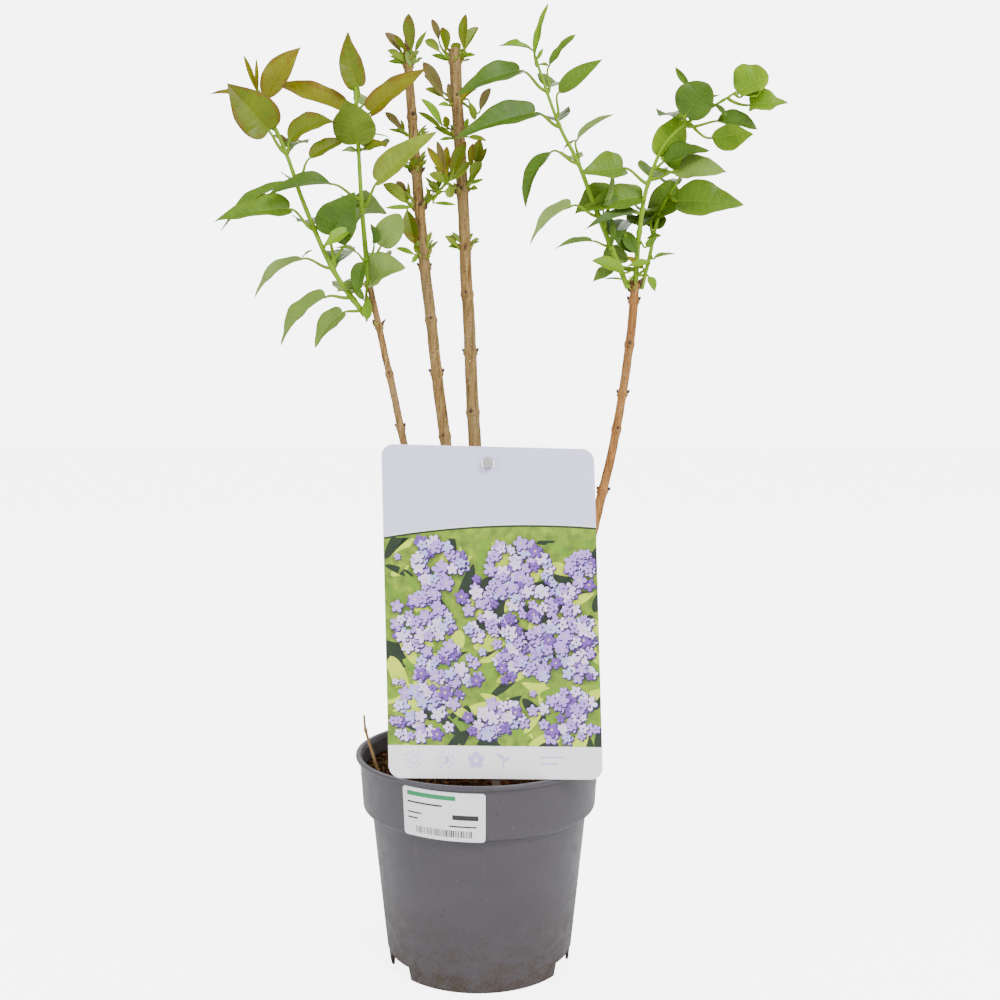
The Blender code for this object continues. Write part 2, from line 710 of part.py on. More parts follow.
def make_sticker(parts):
    # A thin patch wrapped on the rim band.
    low, high = STICKER_HEIGHTS
    slope = (BAND_TOP_RADIUS - BAND_LOW_RADIUS) / (POT_HEIGHT - LIP_DROP - BAND_LOW_HEIGHT)
    clear = GAP + 0.1
    columns = 10
    bm = bmesh.new()
    bmesh.ops.create_grid(bm, x_segments=columns, y_segments=1, size=0.5)
    start, end = STICKER_AZIMUTHS
    for vert in bm.verts:
        azimuth = math.radians(start + (end - start) * (vert.co.x + 0.5))
        height = low + (high - low) * (vert.co.y + 0.5)
        radius = BAND_LOW_RADIUS + slope * (height - BAND_LOW_HEIGHT) + clear
        vert.co = Vector((radius * math.sin(azimuth), -radius * math.cos(azimuth), height)) * MM
    sticker = bmesh_object("price_sticker", bm, "sticker", parts)
    skin = sticker.modifiers.new("thickness", "SOLIDIFY")
    skin.thickness = STICKER_THICKNESS * MM
    skin.offset = 1.0
    return sticker


def make_twig(parts):
    path = catmull_rom(TWIG_PLACES, 6)
    foot, tip = TWIG_RADII
    radii = [foot + (tip - foot) * i / 6 for i in range(7)]
    twig = add_object("dry_twig", limb_mesh("dry_twig", path, radii), "dry_twig", parts)
    smooth(twig)
    return twig


def build():
    clear_scene()
    parts = new_collection("potted_lilac")
    cutters = new_collection("cutters")
    make_pot(parts, cutters)
    make_mix(parts)
    limbs = make_limbs((parts, cutters))
    make_root_crown(parts, cutters, limbs)
    make_masses(parts, cutters, limbs)
    make_card(parts, cutters)
    make_stick(parts, cutters)
    make_sticker(parts)
    make_twig(parts)


build()
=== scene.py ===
# A young lilac in its nursery pot: four woody stems, green leafy shoots, young tufts,
# the pot with its potting mix, a label card on a stick, a price sticker and a dry twig.
# Sizes are in millimetres. +Z is up, +X to the right and +Y away from the viewer.
import math
import random

import bmesh
import bpy
from mathutils import Matrix, Vector, noise


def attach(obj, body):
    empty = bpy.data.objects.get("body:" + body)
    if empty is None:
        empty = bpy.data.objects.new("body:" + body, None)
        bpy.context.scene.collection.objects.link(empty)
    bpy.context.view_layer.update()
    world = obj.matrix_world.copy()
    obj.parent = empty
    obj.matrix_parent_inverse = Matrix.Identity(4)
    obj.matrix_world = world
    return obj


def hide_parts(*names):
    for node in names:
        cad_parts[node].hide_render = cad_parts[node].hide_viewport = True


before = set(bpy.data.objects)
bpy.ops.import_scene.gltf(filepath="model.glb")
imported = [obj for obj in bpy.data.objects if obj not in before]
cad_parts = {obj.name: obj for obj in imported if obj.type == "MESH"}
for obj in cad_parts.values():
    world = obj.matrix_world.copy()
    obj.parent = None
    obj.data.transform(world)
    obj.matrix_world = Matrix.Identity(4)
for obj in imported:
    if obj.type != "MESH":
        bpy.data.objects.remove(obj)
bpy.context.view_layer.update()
mm = 0.001

cameraPlan = {"place": (12.7, -800.0, 358.5), "downDegrees": 5.46, "focal": 1340.0, "middle": 500.0, "sensor": 36.0}


def seenAt(px, py, away):
    # the place that the photograph shows at a pixel, for a given distance away along Y
    down = math.radians(cameraPlan["downDegrees"])
    across = (px - cameraPlan["middle"]) / cameraPlan["focal"]
    up = (cameraPlan["middle"] - py) / cameraPlan["focal"]
    ray = Vector((across, math.cos(down) + up * math.sin(down), up * math.cos(down) - math.sin(down)))
    start = Vector(cameraPlan["place"])
    return start + ray * ((away - start.y) / ray.y)


def seenPixel(place):
    down = math.radians(cameraPlan["downDegrees"])
    run = place - Vector(cameraPlan["place"])
    depth = run.y * math.cos(down) - run.z * math.sin(down)
    up = run.y * math.sin(down) + run.z * math.cos(down)
    middle, focal = cameraPlan["middle"], cameraPlan["focal"]
    return middle + focal * run.x / depth, middle - focal * up / depth


# materials

def newMaterial(name, colour, roughness):
    mat = bpy.data.materials.new(name)
    mat.use_nodes = True
    shader = mat.node_tree.nodes["Principled BSDF"]
    shader.inputs["Base Color"].default_value = (*colour, 1.0)
    shader.inputs["Roughness"].default_value = roughness
    return mat, mat.node_tree, shader


def addNode(tree, kind, **values):
    node = tree.nodes.new(kind)
    for name, value in values.items():
        if name in node.inputs:
            node.inputs[name].default_value = value
        else:
            setattr(node, name, value)
    return node


def noiseAt(tree, scale, stretch=(1, 1, 1), detail=4.0, distortion=0.0):
    # noise on object coordinates; scale is in cycles for each metre
    coords = addNode(tree, "ShaderNodeTexCoord")
    mapping = addNode(tree, "ShaderNodeMapping")
    mapping.inputs["Scale"].default_value = stretch
    tree.links.new(coords.outputs["Object"], mapping.inputs["Vector"])
    pattern = addNode(tree, "ShaderNodeTexNoise", Scale=scale, Detail=detail, Distortion=distortion)
    tree.links.new(mapping.outputs["Vector"], pattern.inputs["Vector"])
    return pattern.outputs["Fac"]


def ramp(tree, source, stops):
    # stops are (place, value) pairs, the value a grey number or a colour
    node = addNode(tree, "ShaderNodeValToRGB")
    elements = node.color_ramp.elements
    elements.remove(elements[1])
    elements[0].position = stops[0][0]
    for i, (place, value) in enumerate(stops):
        element = elements.new(place) if i else elements[0]
        element.color = (value, value, value, 1.0) if isinstance(value, (int, float)) else (*value, 1.0)
    tree.links.new(source, node.inputs["Fac"])
    return node.outputs["Color"]


def mixColours(tree, factor, first, second, how="MIX"):
    node = addNode(tree, "ShaderNodeMix", data_type="RGBA", blend_type=how)
    for socket, value in zip((node.inputs[0], node.inputs[6], node.inputs[7]), (factor, first, second)):
        if isinstance(value, bpy.types.NodeSocket):
            tree.links.new(value, socket)
        elif isinstance(value, (int, float)):
            socket.default_value = value
        else:
            socket.default_value = (*value, 1.0)
    return node.outputs[2]


def mathNode(tree, how, first, second=0.0):
    node = addNode(tree, "ShaderNodeMath", operation=how)
    for socket, value in zip(node.inputs, (first, second)):
        if isinstance(value, bpy.types.NodeSocket):
            tree.links.new(value, socket)
        else:
            socket.default_value = value
    return node.outputs[0]


def addBump(tree, shader, height, strength, distance):
    bump = addNode(tree, "ShaderNodeBump", Strength=strength, Distance=distance)
    tree.links.new(height, bump.inputs["Height"])
    tree.links.new(bump.outputs["Normal"], shader.inputs["Normal"])


def heightFactor(tree, low, high):
    # 0 at the low height and 1 at the high one, in metres of the object
    coords = addNode(tree, "ShaderNodeTexCoord")
    split = addNode(tree, "ShaderNodeSeparateXYZ")
    tree.links.new(coords.outputs["Object"], split.inputs[0])
    span = addNode(tree, "ShaderNodeMapRange")
    span.inputs["From Min"].default_value = low
    span.inputs["From Max"].default_value = high
    tree.links.new(split.outputs["Z"], span.inputs["Value"])
    return span.outputs["Result"]


def mottled(name, colour, darker, roughness, scale, bumpSize, stretch=(1, 1, 1), bumpStrength=0.35):
    # a plain finish with soft changes of colour and roughness, and a fine relief
    mat, tree, shader = newMaterial(name, colour, roughness)
    broad = noiseAt(tree, scale, stretch)
    tree.links.new(mixColours(tree, ramp(tree, broad, [(0.35, 0.0), (0.7, 1.0)]), darker, colour),
                   shader.inputs["Base Color"])
    rough = ramp(tree, broad, [(0.3, min(1.0, roughness + 0.12)), (0.75, max(0.05, roughness - 0.08))])
    tree.links.new(rough, shader.inputs["Roughness"])
    addBump(tree, shader, noiseAt(tree, scale * 6, stretch, 5.0), bumpStrength, bumpSize)
    return mat


# each tint is one kind of leaf: upper face, its flush towards the margin, underside, veins and edge
leafTints = {
    "deep": {"upper": (0.060, 0.128, 0.008), "blush": (0.068, 0.135, 0.007), "under": (0.125, 0.220, 0.034),
             "vein": (0.082, 0.160, 0.014), "edge": (0.075, 0.142, 0.010)},
    "mid": {"upper": (0.098, 0.190, 0.010), "blush": (0.112, 0.196, 0.008), "under": (0.155, 0.260, 0.036),
            "vein": (0.128, 0.234, 0.018), "edge": (0.115, 0.200, 0.012)},
    "light": {"upper": (0.147, 0.286, 0.007), "blush": (0.178, 0.294, 0.005), "under": (0.190, 0.300, 0.034),
              "vein": (0.196, 0.342, 0.016), "edge": (0.172, 0.282, 0.009)},
    "pale": {"upper": (0.168, 0.272, 0.046), "blush": (0.180, 0.272, 0.040), "under": (0.210, 0.308, 0.072),
             "vein": (0.202, 0.308, 0.060), "edge": (0.180, 0.260, 0.046)},
    "olive": {"upper": (0.115, 0.158, 0.002), "blush": (0.140, 0.118, 0.003), "under": (0.125, 0.185, 0.012),
              "vein": (0.140, 0.180, 0.004), "edge": (0.140, 0.086, 0.010)},
    "amber": {"upper": (0.175, 0.172, 0.003), "blush": (0.180, 0.120, 0.004), "under": (0.165, 0.180, 0.014),
              "vein": (0.200, 0.195, 0.007), "edge": (0.165, 0.092, 0.012)},
    "bronze": {"upper": (0.158, 0.132, 0.034), "blush": (0.158, 0.094, 0.034), "under": (0.165, 0.160, 0.036),
               "vein": (0.182, 0.152, 0.042), "edge": (0.130, 0.062, 0.030)},
    "young": {"upper": (0.192, 0.270, 0.018), "blush": (0.205, 0.240, 0.018), "under": (0.215, 0.290, 0.040),
              "vein": (0.232, 0.312, 0.030), "edge": (0.190, 0.175, 0.020)},
}
leafFaces = ("upper", "blush", "under", "vein", "edge")


def leafMaterial(tint, face):
    colour = leafTints[tint][face]
    roughness = {"upper": 0.40, "blush": 0.42, "under": 0.60, "vein": 0.48, "edge": 0.5}[face]
    mat, tree, shader = newMaterial(f"leaf_{tint}_{face}", colour, roughness)
    shader.inputs["Specular IOR Level"].default_value = 0.20
    darker = tuple(c * 0.82 for c in colour)
    lighter = tuple(min(1.0, c * 1.12) for c in colour)
    broad = ramp(tree, noiseAt(tree, 70.0, detail=3.0), [(0.36, 0.0), (0.66, 1.0)])
    base = mixColours(tree, broad, darker, lighter)
    fine = ramp(tree, noiseAt(tree, 900.0, detail=3.0), [(0.42, 0.0), (0.62, 0.35)])
    tree.links.new(mixColours(tree, fine, base, colour), shader.inputs["Base Color"])
    rough = ramp(tree, noiseAt(tree, 220.0), [(0.3, roughness - 0.07), (0.7, roughness + 0.12)])
    tree.links.new(rough, shader.inputs["Roughness"])
    cells = addNode(tree, "ShaderNodeTexVoronoi", Scale=760.0, feature="DISTANCE_TO_EDGE")
    coords = addNode(tree, "ShaderNodeTexCoord")
    tree.links.new(coords.outputs["Object"], cells.inputs["Vector"])
    net = ramp(tree, cells.outputs["Distance"], [(0.0, 0.0), (0.22, 1.0)])
    addBump(tree, shader, net, 0.30 if face == "upper" else 0.2, 0.00012)
    return mat


def barkMaterial(name, tone):
    # tan bark, streaked lengthwise, with paler patches, dark flecks and small pale pores
    mat, tree, shader = newMaterial(name, (0.24, 0.145, 0.055), 0.74)
    shader.inputs["Specular IOR Level"].default_value = 0.22
    streaks = noiseAt(tree, 640.0, (1, 1, 0.10), 6.0)
    stops = [(0.30, (0.085, 0.048, 0.019)), (0.48, (0.225, 0.132, 0.049)),
             (0.62, (0.30, 0.185, 0.075)), (0.76, (0.40, 0.27, 0.13))]
    base = ramp(tree, streaks, [(place, tuple(c * t for c, t in zip(colour, tone))) for place, colour in stops])
    patches = ramp(tree, noiseAt(tree, 60.0, (1, 1, 0.4)), [(0.42, 0.0), (0.68, 0.5)])
    base = mixColours(tree, patches, base, tuple(c * t for c, t in zip((0.25, 0.185, 0.105), tone)))
    flecks = ramp(tree, noiseAt(tree, 1300.0, (1, 1, 0.45), 2.0), [(0.60, 0.0), (0.68, 0.85)])
    base = mixColours(tree, flecks, base, (0.060, 0.034, 0.016))
    pores = ramp(tree, noiseAt(tree, 1000.0, (1, 1, 0.7), 1.0), [(0.69, 0.0), (0.74, 0.8)])
    tree.links.new(mixColours(tree, pores, base, (0.46, 0.35, 0.21)), shader.inputs["Base Color"])
    tree.links.new(ramp(tree, streaks, [(0.3, 0.88), (0.7, 0.64)]), shader.inputs["Roughness"])
    addBump(tree, shader, noiseAt(tree, 900.0, (1, 1, 0.16), 6.0), 0.7, 0.0004)
    return mat


def potMaterial(name, dirtAndShadeHigh, dirtAndShadeAll):
    # grey moulded plastic, dusted and splashed with dried mix, with a lighter band round the foot's step; the height
    # given is how far up the dirt reaches, and the last number how much of it lies higher up. On the inner wall this
    # dark brown laid all over is partly dirt and partly painted shade.
    mat, tree, shader = newMaterial(name, (0.066, 0.061, 0.071), 0.40)
    shader.inputs["Specular IOR Level"].default_value = 0.40
    body = mixColours(tree, ramp(tree, noiseAt(tree, 16.0, (1, 1, 2.2)), [(0.35, 0.0), (0.7, 1.0)]),
                      (0.056, 0.0515, 0.061), (0.066, 0.061, 0.071))
    rubbed = ramp(tree, noiseAt(tree, 260.0, (1, 1, 0.16), 2.0), [(0.66, 0.0), (0.80, 0.18)])
    body = mixColours(tree, rubbed, body, (0.115, 0.105, 0.115))
    specks = ramp(tree, noiseAt(tree, 620.0, detail=1.0), [(0.765, 0.0), (0.79, 0.5)])
    body = mixColours(tree, specks, body, (0.21, 0.19, 0.165))
    flecks = ramp(tree, noiseAt(tree, 700.0, (1, 1, 0.8), 1.0), [(0.245, 0.7), (0.265, 0.0)])
    body = mixColours(tree, flecks, body, (0.022, 0.015, 0.011))
    low = ramp(tree, heightFactor(tree, 0.0, dirtAndShadeHigh),
               [(0.0, 1.0), (0.150, 1.0), (0.185, 0.62), (0.5, 0.34), (1.0, dirtAndShadeAll)])
    clouds = ramp(tree, noiseAt(tree, 95.0, (1, 1, 1.4), 6.0, 0.6), [(0.38, 0.25), (0.60, 1.0)])
    dustAndShade = mathNode(tree, "MULTIPLY", low, clouds)
    body = mixColours(tree, mathNode(tree, "MULTIPLY", dustAndShade, 0.78), body, (0.062, 0.042, 0.027))
    ledge = ramp(tree, heightFactor(tree, 0.0078, 0.0104), [(0.30, 0.0), (0.46, 0.7), (0.60, 0.0)])
    body = mixColours(tree, ledge, body, (0.135, 0.120, 0.108))
    grains = ramp(tree, noiseAt(tree, 900.0, detail=2.0), [(0.56, 0.0), (0.62, 0.9)])
    body = mixColours(tree, mathNode(tree, "MULTIPLY", dustAndShade, grains), body, (0.026, 0.015, 0.009))
    splash = ramp(tree, noiseAt(tree, 420.0, (1, 1, 0.8), 3.0), [(0.62, 0.0), (0.68, 0.9)])
    body = mixColours(tree, mathNode(tree, "MULTIPLY", low, splash), body, (0.052, 0.030, 0.016))
    tree.links.new(body, shader.inputs["Base Color"])
    rough = ramp(tree, noiseAt(tree, 130.0), [(0.3, 0.34), (0.7, 0.47)])
    tree.links.new(mixColours(tree, dustAndShade, rough, (0.8, 0.8, 0.8)), shader.inputs["Roughness"])
    relief = mathNode(tree, "ADD", noiseAt(tree, 1500.0, detail=3.0), mathNode(tree, "MULTIPLY", dustAndShade, grains))
    addBump(tree, shader, relief, 0.14, 0.00012)
    return mat


def stickMaterial():
    # pale grey plastic, soiled with mix where it stands in the pot
    mat, tree, shader = newMaterial("label_stick", (0.40, 0.40, 0.41), 0.4)
    clean = mixColours(tree, ramp(tree, noiseAt(tree, 140.0), [(0.35, 0.0), (0.7, 1.0)]), (0.37, 0.37, 0.38), (0.43, 0.43, 0.44))
    soiled = ramp(tree, heightFactor(tree, 0.118, 0.136), [(0.0, 1.0), (0.62, 0.95), (1.0, 0.0)])
    soil = mixColours(tree, noiseAt(tree, 900.0), (0.030, 0.018, 0.011), (0.085, 0.050, 0.030))
    tree.links.new(mixColours(tree, soiled, clean, soil), shader.inputs["Base Color"])
    tree.links.new(mixColours(tree, soiled, (0.4, 0.4, 0.4), (0.9, 0.9, 0.9)), shader.inputs["Roughness"])
    addBump(tree, shader, noiseAt(tree, 1100.0), 0.2, 0.0001)
    return mat


mats = {f"{tint}_{face}": leafMaterial(tint, face) for tint in leafTints for face in leafFaces}
mats["bark"] = barkMaterial("tan_bark", (1.03, 1.02, 0.84))
mats["barkPale"] = barkMaterial("pale_bark", (1.13, 1.08, 0.93))
mats["barkWarm"] = barkMaterial("warm_bark", (1.34, 0.96, 0.66))
mats["pot"] = potMaterial("pot_plastic", 0.060, 0.0)
# the inner wall: dried mix laid all over, its dark brown also painted shade down inside the rim
mats["potInside"] = potMaterial("pot_plastic_inside", 0.600, 0.75)
mats["stick"] = stickMaterial()
mats["cutWood"] = mottled("cut_wood", (0.42, 0.31, 0.18), (0.24, 0.15, 0.075), 0.8, 500.0, 0.0002)
mats["shoot"] = mottled("green_shoot", (0.205, 0.350, 0.008), (0.150, 0.280, 0.006), 0.42, 120.0, 0.0001, (1, 1, 0.25))
mats["petiole"] = mottled("leaf_stalk", (0.185, 0.305, 0.008), (0.135, 0.230, 0.006), 0.45, 160.0, 0.00008)
for key in ("shoot", "petiole"):
    mats[key].node_tree.nodes["Principled BSDF"].inputs["Specular IOR Level"].default_value = 0.22
mats["scaleBrown"] = mottled("bud_scale_brown", (0.125, 0.046, 0.018), (0.062, 0.022, 0.011), 0.55, 400.0, 0.0001)
mats["scaleGreen"] = mottled("bud_scale_green", (0.215, 0.270, 0.014), (0.185, 0.165, 0.016), 0.5, 400.0, 0.0001)
mats["budDark"] = mottled("bud_dark", (0.085, 0.046, 0.022), (0.034, 0.018, 0.010), 0.7, 600.0, 0.0002)
mats["mix"] = mottled("potting_mix", (0.042, 0.018, 0.008), (0.011, 0.005, 0.002), 0.95, 320.0, 0.0008, (1, 1, 1), 0.9)
mats["crumb"] = mottled("mix_crumbs", (0.072, 0.029, 0.010), (0.015, 0.006, 0.002), 0.95, 260.0, 0.0004)
mats["chip"] = mottled("bark_chips", (0.180, 0.064, 0.020), (0.058, 0.020, 0.007), 0.85, 130.0, 0.0003)
mats["fibre"] = mottled("coir_fibre", (0.240, 0.140, 0.046), (0.080, 0.040, 0.014), 0.85, 150.0, 0.0001)
for key in ("mix", "crumb", "chip", "fibre"):
    mats[key].node_tree.nodes["Principled BSDF"].inputs["Specular IOR Level"].default_value = 0.06
mats["drytwig"] = mottled("dry_twig", (0.46, 0.29, 0.115), (0.28, 0.170, 0.062), 0.7, 500.0, 0.0001, (1, 1, 0.2))
mats["card"] = mottled("label_card", (0.95, 0.95, 0.96), (0.93, 0.93, 0.94), 0.30, 90.0, 0.00002, (1, 1, 1), 0.1)
mats["header"] = mottled("card_header", (0.74, 0.715, 0.985), (0.725, 0.70, 0.975), 0.28, 60.0, 0.00002, (1, 1, 1), 0.1)
mats["icon"] = mottled("card_icon", (0.60, 0.55, 0.90), (0.58, 0.53, 0.88), 0.3, 60.0, 0.00002, (1, 1, 1), 0.1)
mats["sticker"] = mottled("sticker_paper", (0.88, 0.885, 0.895), (0.85, 0.855, 0.865), 0.34, 120.0, 0.00003, (1, 1, 1), 0.1)
mats["stickerGreen"] = mottled("sticker_green", (0.005, 0.27, 0.085), (0.004, 0.24, 0.075), 0.4, 200.0, 0.00002)
mats["ink"] = mottled("sticker_ink", (0.014, 0.014, 0.017), (0.030, 0.030, 0.033), 0.5, 300.0, 0.00002)
print("materials made:", len(mats))


# mesh helpers

def newPiece(name, verts, faces, materials, indices=None, smooth=True):
    # verts are in millimetres
    mesh = bpy.data.meshes.new(name)
    mesh.from_pydata([tuple(v * mm for v in vert) for vert in verts], [], faces)
    for mat in materials:
        mesh.materials.append(mat)
    if indices:
        mesh.polygons.foreach_set("material_index", indices)
    if smooth:
        mesh.shade_smooth()
    mesh.update()
    piece = bpy.data.objects.new(name, mesh)
    bpy.context.scene.collection.objects.link(piece)
    return piece


def settle(piece, slot, *nodes):
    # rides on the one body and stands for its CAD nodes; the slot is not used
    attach(piece, "root")
    if nodes:
        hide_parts(*nodes)
    return piece


def turnOutwards(piece):
    bm = bmesh.new()
    bm.from_mesh(piece.data)
    bmesh.ops.recalc_face_normals(bm, faces=bm.faces)
    bm.to_mesh(piece.data)
    bm.free()


def applied(piece):
    # the evaluated shape as a plain mesh, with its modifiers removed
    bpy.context.view_layer.update()
    graph = bpy.context.evaluated_depsgraph_get()
    mesh = bpy.data.meshes.new_from_object(piece.evaluated_get(graph))
    piece.modifiers.clear()
    old = piece.data
    piece.data = mesh
    bpy.data.meshes.remove(old)
    mesh.name = piece.name
    return piece


def catmullRom(places, count):
    pts = [Vector(p) for p in places]
    pts = [2 * pts[0] - pts[1]] + pts + [2 * pts[-1] - pts[-2]]
    spans = len(places) - 1
    path = []
    for i in range(count + 1):
        t = spans * i / count
        k = min(int(t), spans - 1)
        u = t - k
        a, b, c, d = pts[k:k + 4]
        square = 2 * a - 5 * b + 4 * c - d
        cube = 3 * b - a - 3 * c + d
        path.append(0.5 * (2 * b + (c - a) * u + square * u ** 2 + cube * u ** 3))
    return path


def between(table, height):
    # a value read off (height, value) pairs, straight between them
    if height <= table[0][0]:
        return table[0][1]
    for (low, a), (high, b) in zip(table, table[1:]):
        if height <= high:
            return a + (b - a) * (height - low) / (high - low)
    return table[-1][1]


# limbs: a tube along each path, by geometry nodes

def socketId(tree, name):
    for item in tree.interface.items_tree:
        if item.item_type == "SOCKET" and item.in_out == "INPUT" and item.name == name:
            return item.identifier
    raise ValueError(name)


def limbTree():
    tree = bpy.data.node_groups.new("limb_along_path", "GeometryNodeTree")
    face = tree.interface
    face.new_socket("Geometry", in_out="INPUT", socket_type="NodeSocketGeometry")
    face.new_socket("Sides", in_out="INPUT", socket_type="NodeSocketInt")
    face.new_socket("Relief", in_out="INPUT", socket_type="NodeSocketFloat")
    face.new_socket("Grain", in_out="INPUT", socket_type="NodeSocketFloat")
    face.new_socket("Stretch", in_out="INPUT", socket_type="NodeSocketFloat")
    face.new_socket("Finish", in_out="INPUT", socket_type="NodeSocketMaterial")
    face.new_socket("Geometry", in_out="OUTPUT", socket_type="NodeSocketGeometry")
    start = tree.nodes.new("NodeGroupInput")
    end = tree.nodes.new("NodeGroupOutput")
    link = tree.links.new
    toCurve = tree.nodes.new("GeometryNodeMeshToCurve")
    link(start.outputs["Geometry"], toCurve.inputs["Mesh"])
    girth = tree.nodes.new("GeometryNodeInputNamedAttribute")
    girth.data_type = "FLOAT"
    girth.inputs["Name"].default_value = "girth"
    setRadius = tree.nodes.new("GeometryNodeSetCurveRadius")
    link(toCurve.outputs["Curve"], setRadius.inputs["Curve"])
    link(girth.outputs["Attribute"], setRadius.inputs["Radius"])
    ring = tree.nodes.new("GeometryNodeCurvePrimitiveCircle")
    ring.mode = "RADIUS"
    ring.inputs["Radius"].default_value = 1.0
    link(start.outputs["Sides"], ring.inputs["Resolution"])
    tube = tree.nodes.new("GeometryNodeCurveToMesh")
    tube.inputs["Fill Caps"].default_value = True
    link(setRadius.outputs["Curve"], tube.inputs["Curve"])
    link(ring.outputs["Curve"], tube.inputs["Profile Curve"])
    if "Scale" in tube.inputs:
        link(girth.outputs["Attribute"], tube.inputs["Scale"])
    place = tree.nodes.new("GeometryNodeInputPosition")
    squeeze = tree.nodes.new("ShaderNodeCombineXYZ")
    squeeze.inputs[0].default_value = 1.0
    squeeze.inputs[1].default_value = 1.0
    link(start.outputs["Stretch"], squeeze.inputs[2])
    scaled = tree.nodes.new("ShaderNodeVectorMath")
    scaled.operation = "MULTIPLY"
    link(place.outputs[0], scaled.inputs[0])
    link(squeeze.outputs[0], scaled.inputs[1])
    bumps = tree.nodes.new("ShaderNodeTexNoise")
    bumps.inputs["Detail"].default_value = 5.0
    link(scaled.outputs[0], bumps.inputs["Vector"])
    link(start.outputs["Grain"], bumps.inputs["Scale"])
    centred = tree.nodes.new("ShaderNodeMath")
    centred.operation = "SUBTRACT"
    centred.inputs[1].default_value = 0.5
    link(bumps.outputs["Fac"], centred.inputs[0])
    amount = tree.nodes.new("ShaderNodeMath")
    amount.operation = "MULTIPLY"
    link(centred.outputs[0], amount.inputs[0])
    link(start.outputs["Relief"], amount.inputs[1])
    normal = tree.nodes.new("GeometryNodeInputNormal")
    push = tree.nodes.new("ShaderNodeVectorMath")
    push.operation = "SCALE"
    link(normal.outputs[0], push.inputs[0])
    link(amount.outputs[0], push.inputs["Scale"])
    move = tree.nodes.new("GeometryNodeSetPosition")
    link(tube.outputs["Mesh"], move.inputs["Geometry"])
    link(push.outputs[0], move.inputs["Offset"])
    realize = tree.nodes.new("GeometryNodeRealizeInstances")
    link(move.outputs["Geometry"], realize.inputs["Geometry"])
    finish = tree.nodes.new("GeometryNodeSetMaterial")
    link(realize.outputs["Geometry"], finish.inputs["Geometry"])
    link(start.outputs["Finish"], finish.inputs["Material"])
    link(finish.outputs["Geometry"], end.inputs["Geometry"])
    return tree


limbNodes = limbTree()


def growTubes(name, runs, finish, sides=8, relief=0.0, grain=900.0, stretch=0.12):
    # runs is a list of (path, radii), each its own tube of one piece
    verts, edges, girths = [], [], []
    for path, radii in runs:
        first = len(verts)
        verts += [tuple(p * mm) for p in path]
        edges += [(first + i, first + i + 1) for i in range(len(path) - 1)]
        girths += [r * mm for r in radii]
    mesh = bpy.data.meshes.new(name)
    mesh.from_pydata(verts, edges, [])
    girth = mesh.attributes.new("girth", "FLOAT", "POINT")
    girth.data.foreach_set("value", girths)
    piece = bpy.data.objects.new(name, mesh)
    bpy.context.scene.collection.objects.link(piece)
    mod = piece.modifiers.new("limb", "NODES")
    mod.node_group = limbNodes
    for label, value in (("Sides", sides), ("Relief", relief * mm), ("Grain", grain), ("Stretch", stretch)):
        mod[socketId(limbNodes, label)] = value
    mod[socketId(limbNodes, "Finish")] = finish
    applied(piece)
    bm = bmesh.new()
    bm.from_mesh(piece.data)
    bmesh.ops.remove_doubles(bm, verts=bm.verts, dist=0.000001)
    bmesh.ops.recalc_face_normals(bm, faces=bm.faces)
    bm.to_mesh(piece.data)
    bm.free()
    piece.data.shade_smooth()
    piece.data.set_sharp_from_angle(angle=math.radians(55))
    return piece


# woody stems: foot on the root crown, the places seen above the card, and the nodes where buds sit
stemFoot = 122.5
stems = {
    "stem_left": {
        "foot": (-2.0, -7.0), "tip": (-64.0, -4.0, 409.5), "bow": 0.0,
        "radii": [(122.5, 2.9), (136, 2.8), (350, 2.15), (409.5, 1.85)],
        "nodesAt": [327, 374, 427, 480, 540, 600, 660, 720], "seed": 3, "bark": "barkPale",
    },
    "stem_mid_left": {
        "foot": (10.5, -2.0), "tip": (-42.2, 12.0, 550.0), "bow": -6.5,
        "radii": [(122.5, 4.0), (136, 3.7), (470, 3.2), (520, 2.8), (550, 2.4)],
        "nodesAt": [67, 117, 171, 208, 268, 320, 372, 436, 500, 560, 625, 690], "seed": 5, "bark": "bark",
    },
    "stem_mid_right": {
        "foot": (4.0, 11.0), "tip": (-14.3, 15.0, 548.5), "bow": 1.5,
        "radii": [(122.5, 4.8), (136, 4.4), (460, 3.45), (548.5, 3.6)],
        "nodesAt": [60, 98, 133, 192, 248, 295, 353, 413, 478, 545, 610, 680], "seed": 8, "bark": "bark",
    },
    "stem_right": {
        "foot": (17.0, 5.0), "tip": (92.5, 0.0, 410.5), "bow": 14.5,
        "radii": [(122.5, 3.9), (136, 3.5), (330, 2.6), (410.5, 2.7)],
        "nodesAt": [300, 345, 393, 430, 490, 550, 610, 680], "seed": 11, "bark": "barkWarm",
    },
}


def stemCourse(stem, count):
    foot = Vector((*stem["foot"], stemFoot - 3.0))
    tip = Vector(stem["tip"])
    bow = Vector((stem["bow"], 0, 0))
    return [foot.lerp(tip, i / count) + bow * 4 * (i / count) * (1 - i / count) for i in range(count + 1)]


def heightSeen(path, py):
    # the place on a path that the photograph shows at a pixel row
    return min(path, key=lambda p: abs(seenPixel(p)[1] - py))


def budShape(place, outward, along, length, width, sides=8, rings=5):
    # a small pointed bud; returns its verts and faces
    outward = (outward - along * outward.dot(along)).normalized()
    lean = (outward * 0.75 + along).normalized()
    side = lean.cross(outward).normalized()
    front = side.cross(lean)
    verts, faces = [], []
    for i in range(rings + 1):
        t = i / rings
        r = width * math.sin(math.pi * (0.18 + 0.82 * t)) ** 0.8 * (1 - 0.25 * t)
        for k in range(sides):
            a = 2 * math.pi * k / sides
            verts.append(place + lean * length * (t - 0.15) + (side * math.cos(a) + front * math.sin(a)) * max(r, 0.02))
    for i in range(rings):
        for k in range(sides):
            n = (k + 1) % sides
            faces.append((i * sides + k, i * sides + n, (i + 1) * sides + n, (i + 1) * sides + k))
    faces.append(tuple(reversed(range(sides))))
    faces.append(tuple(range(rings * sides, (rings + 1) * sides)))
    return verts, faces


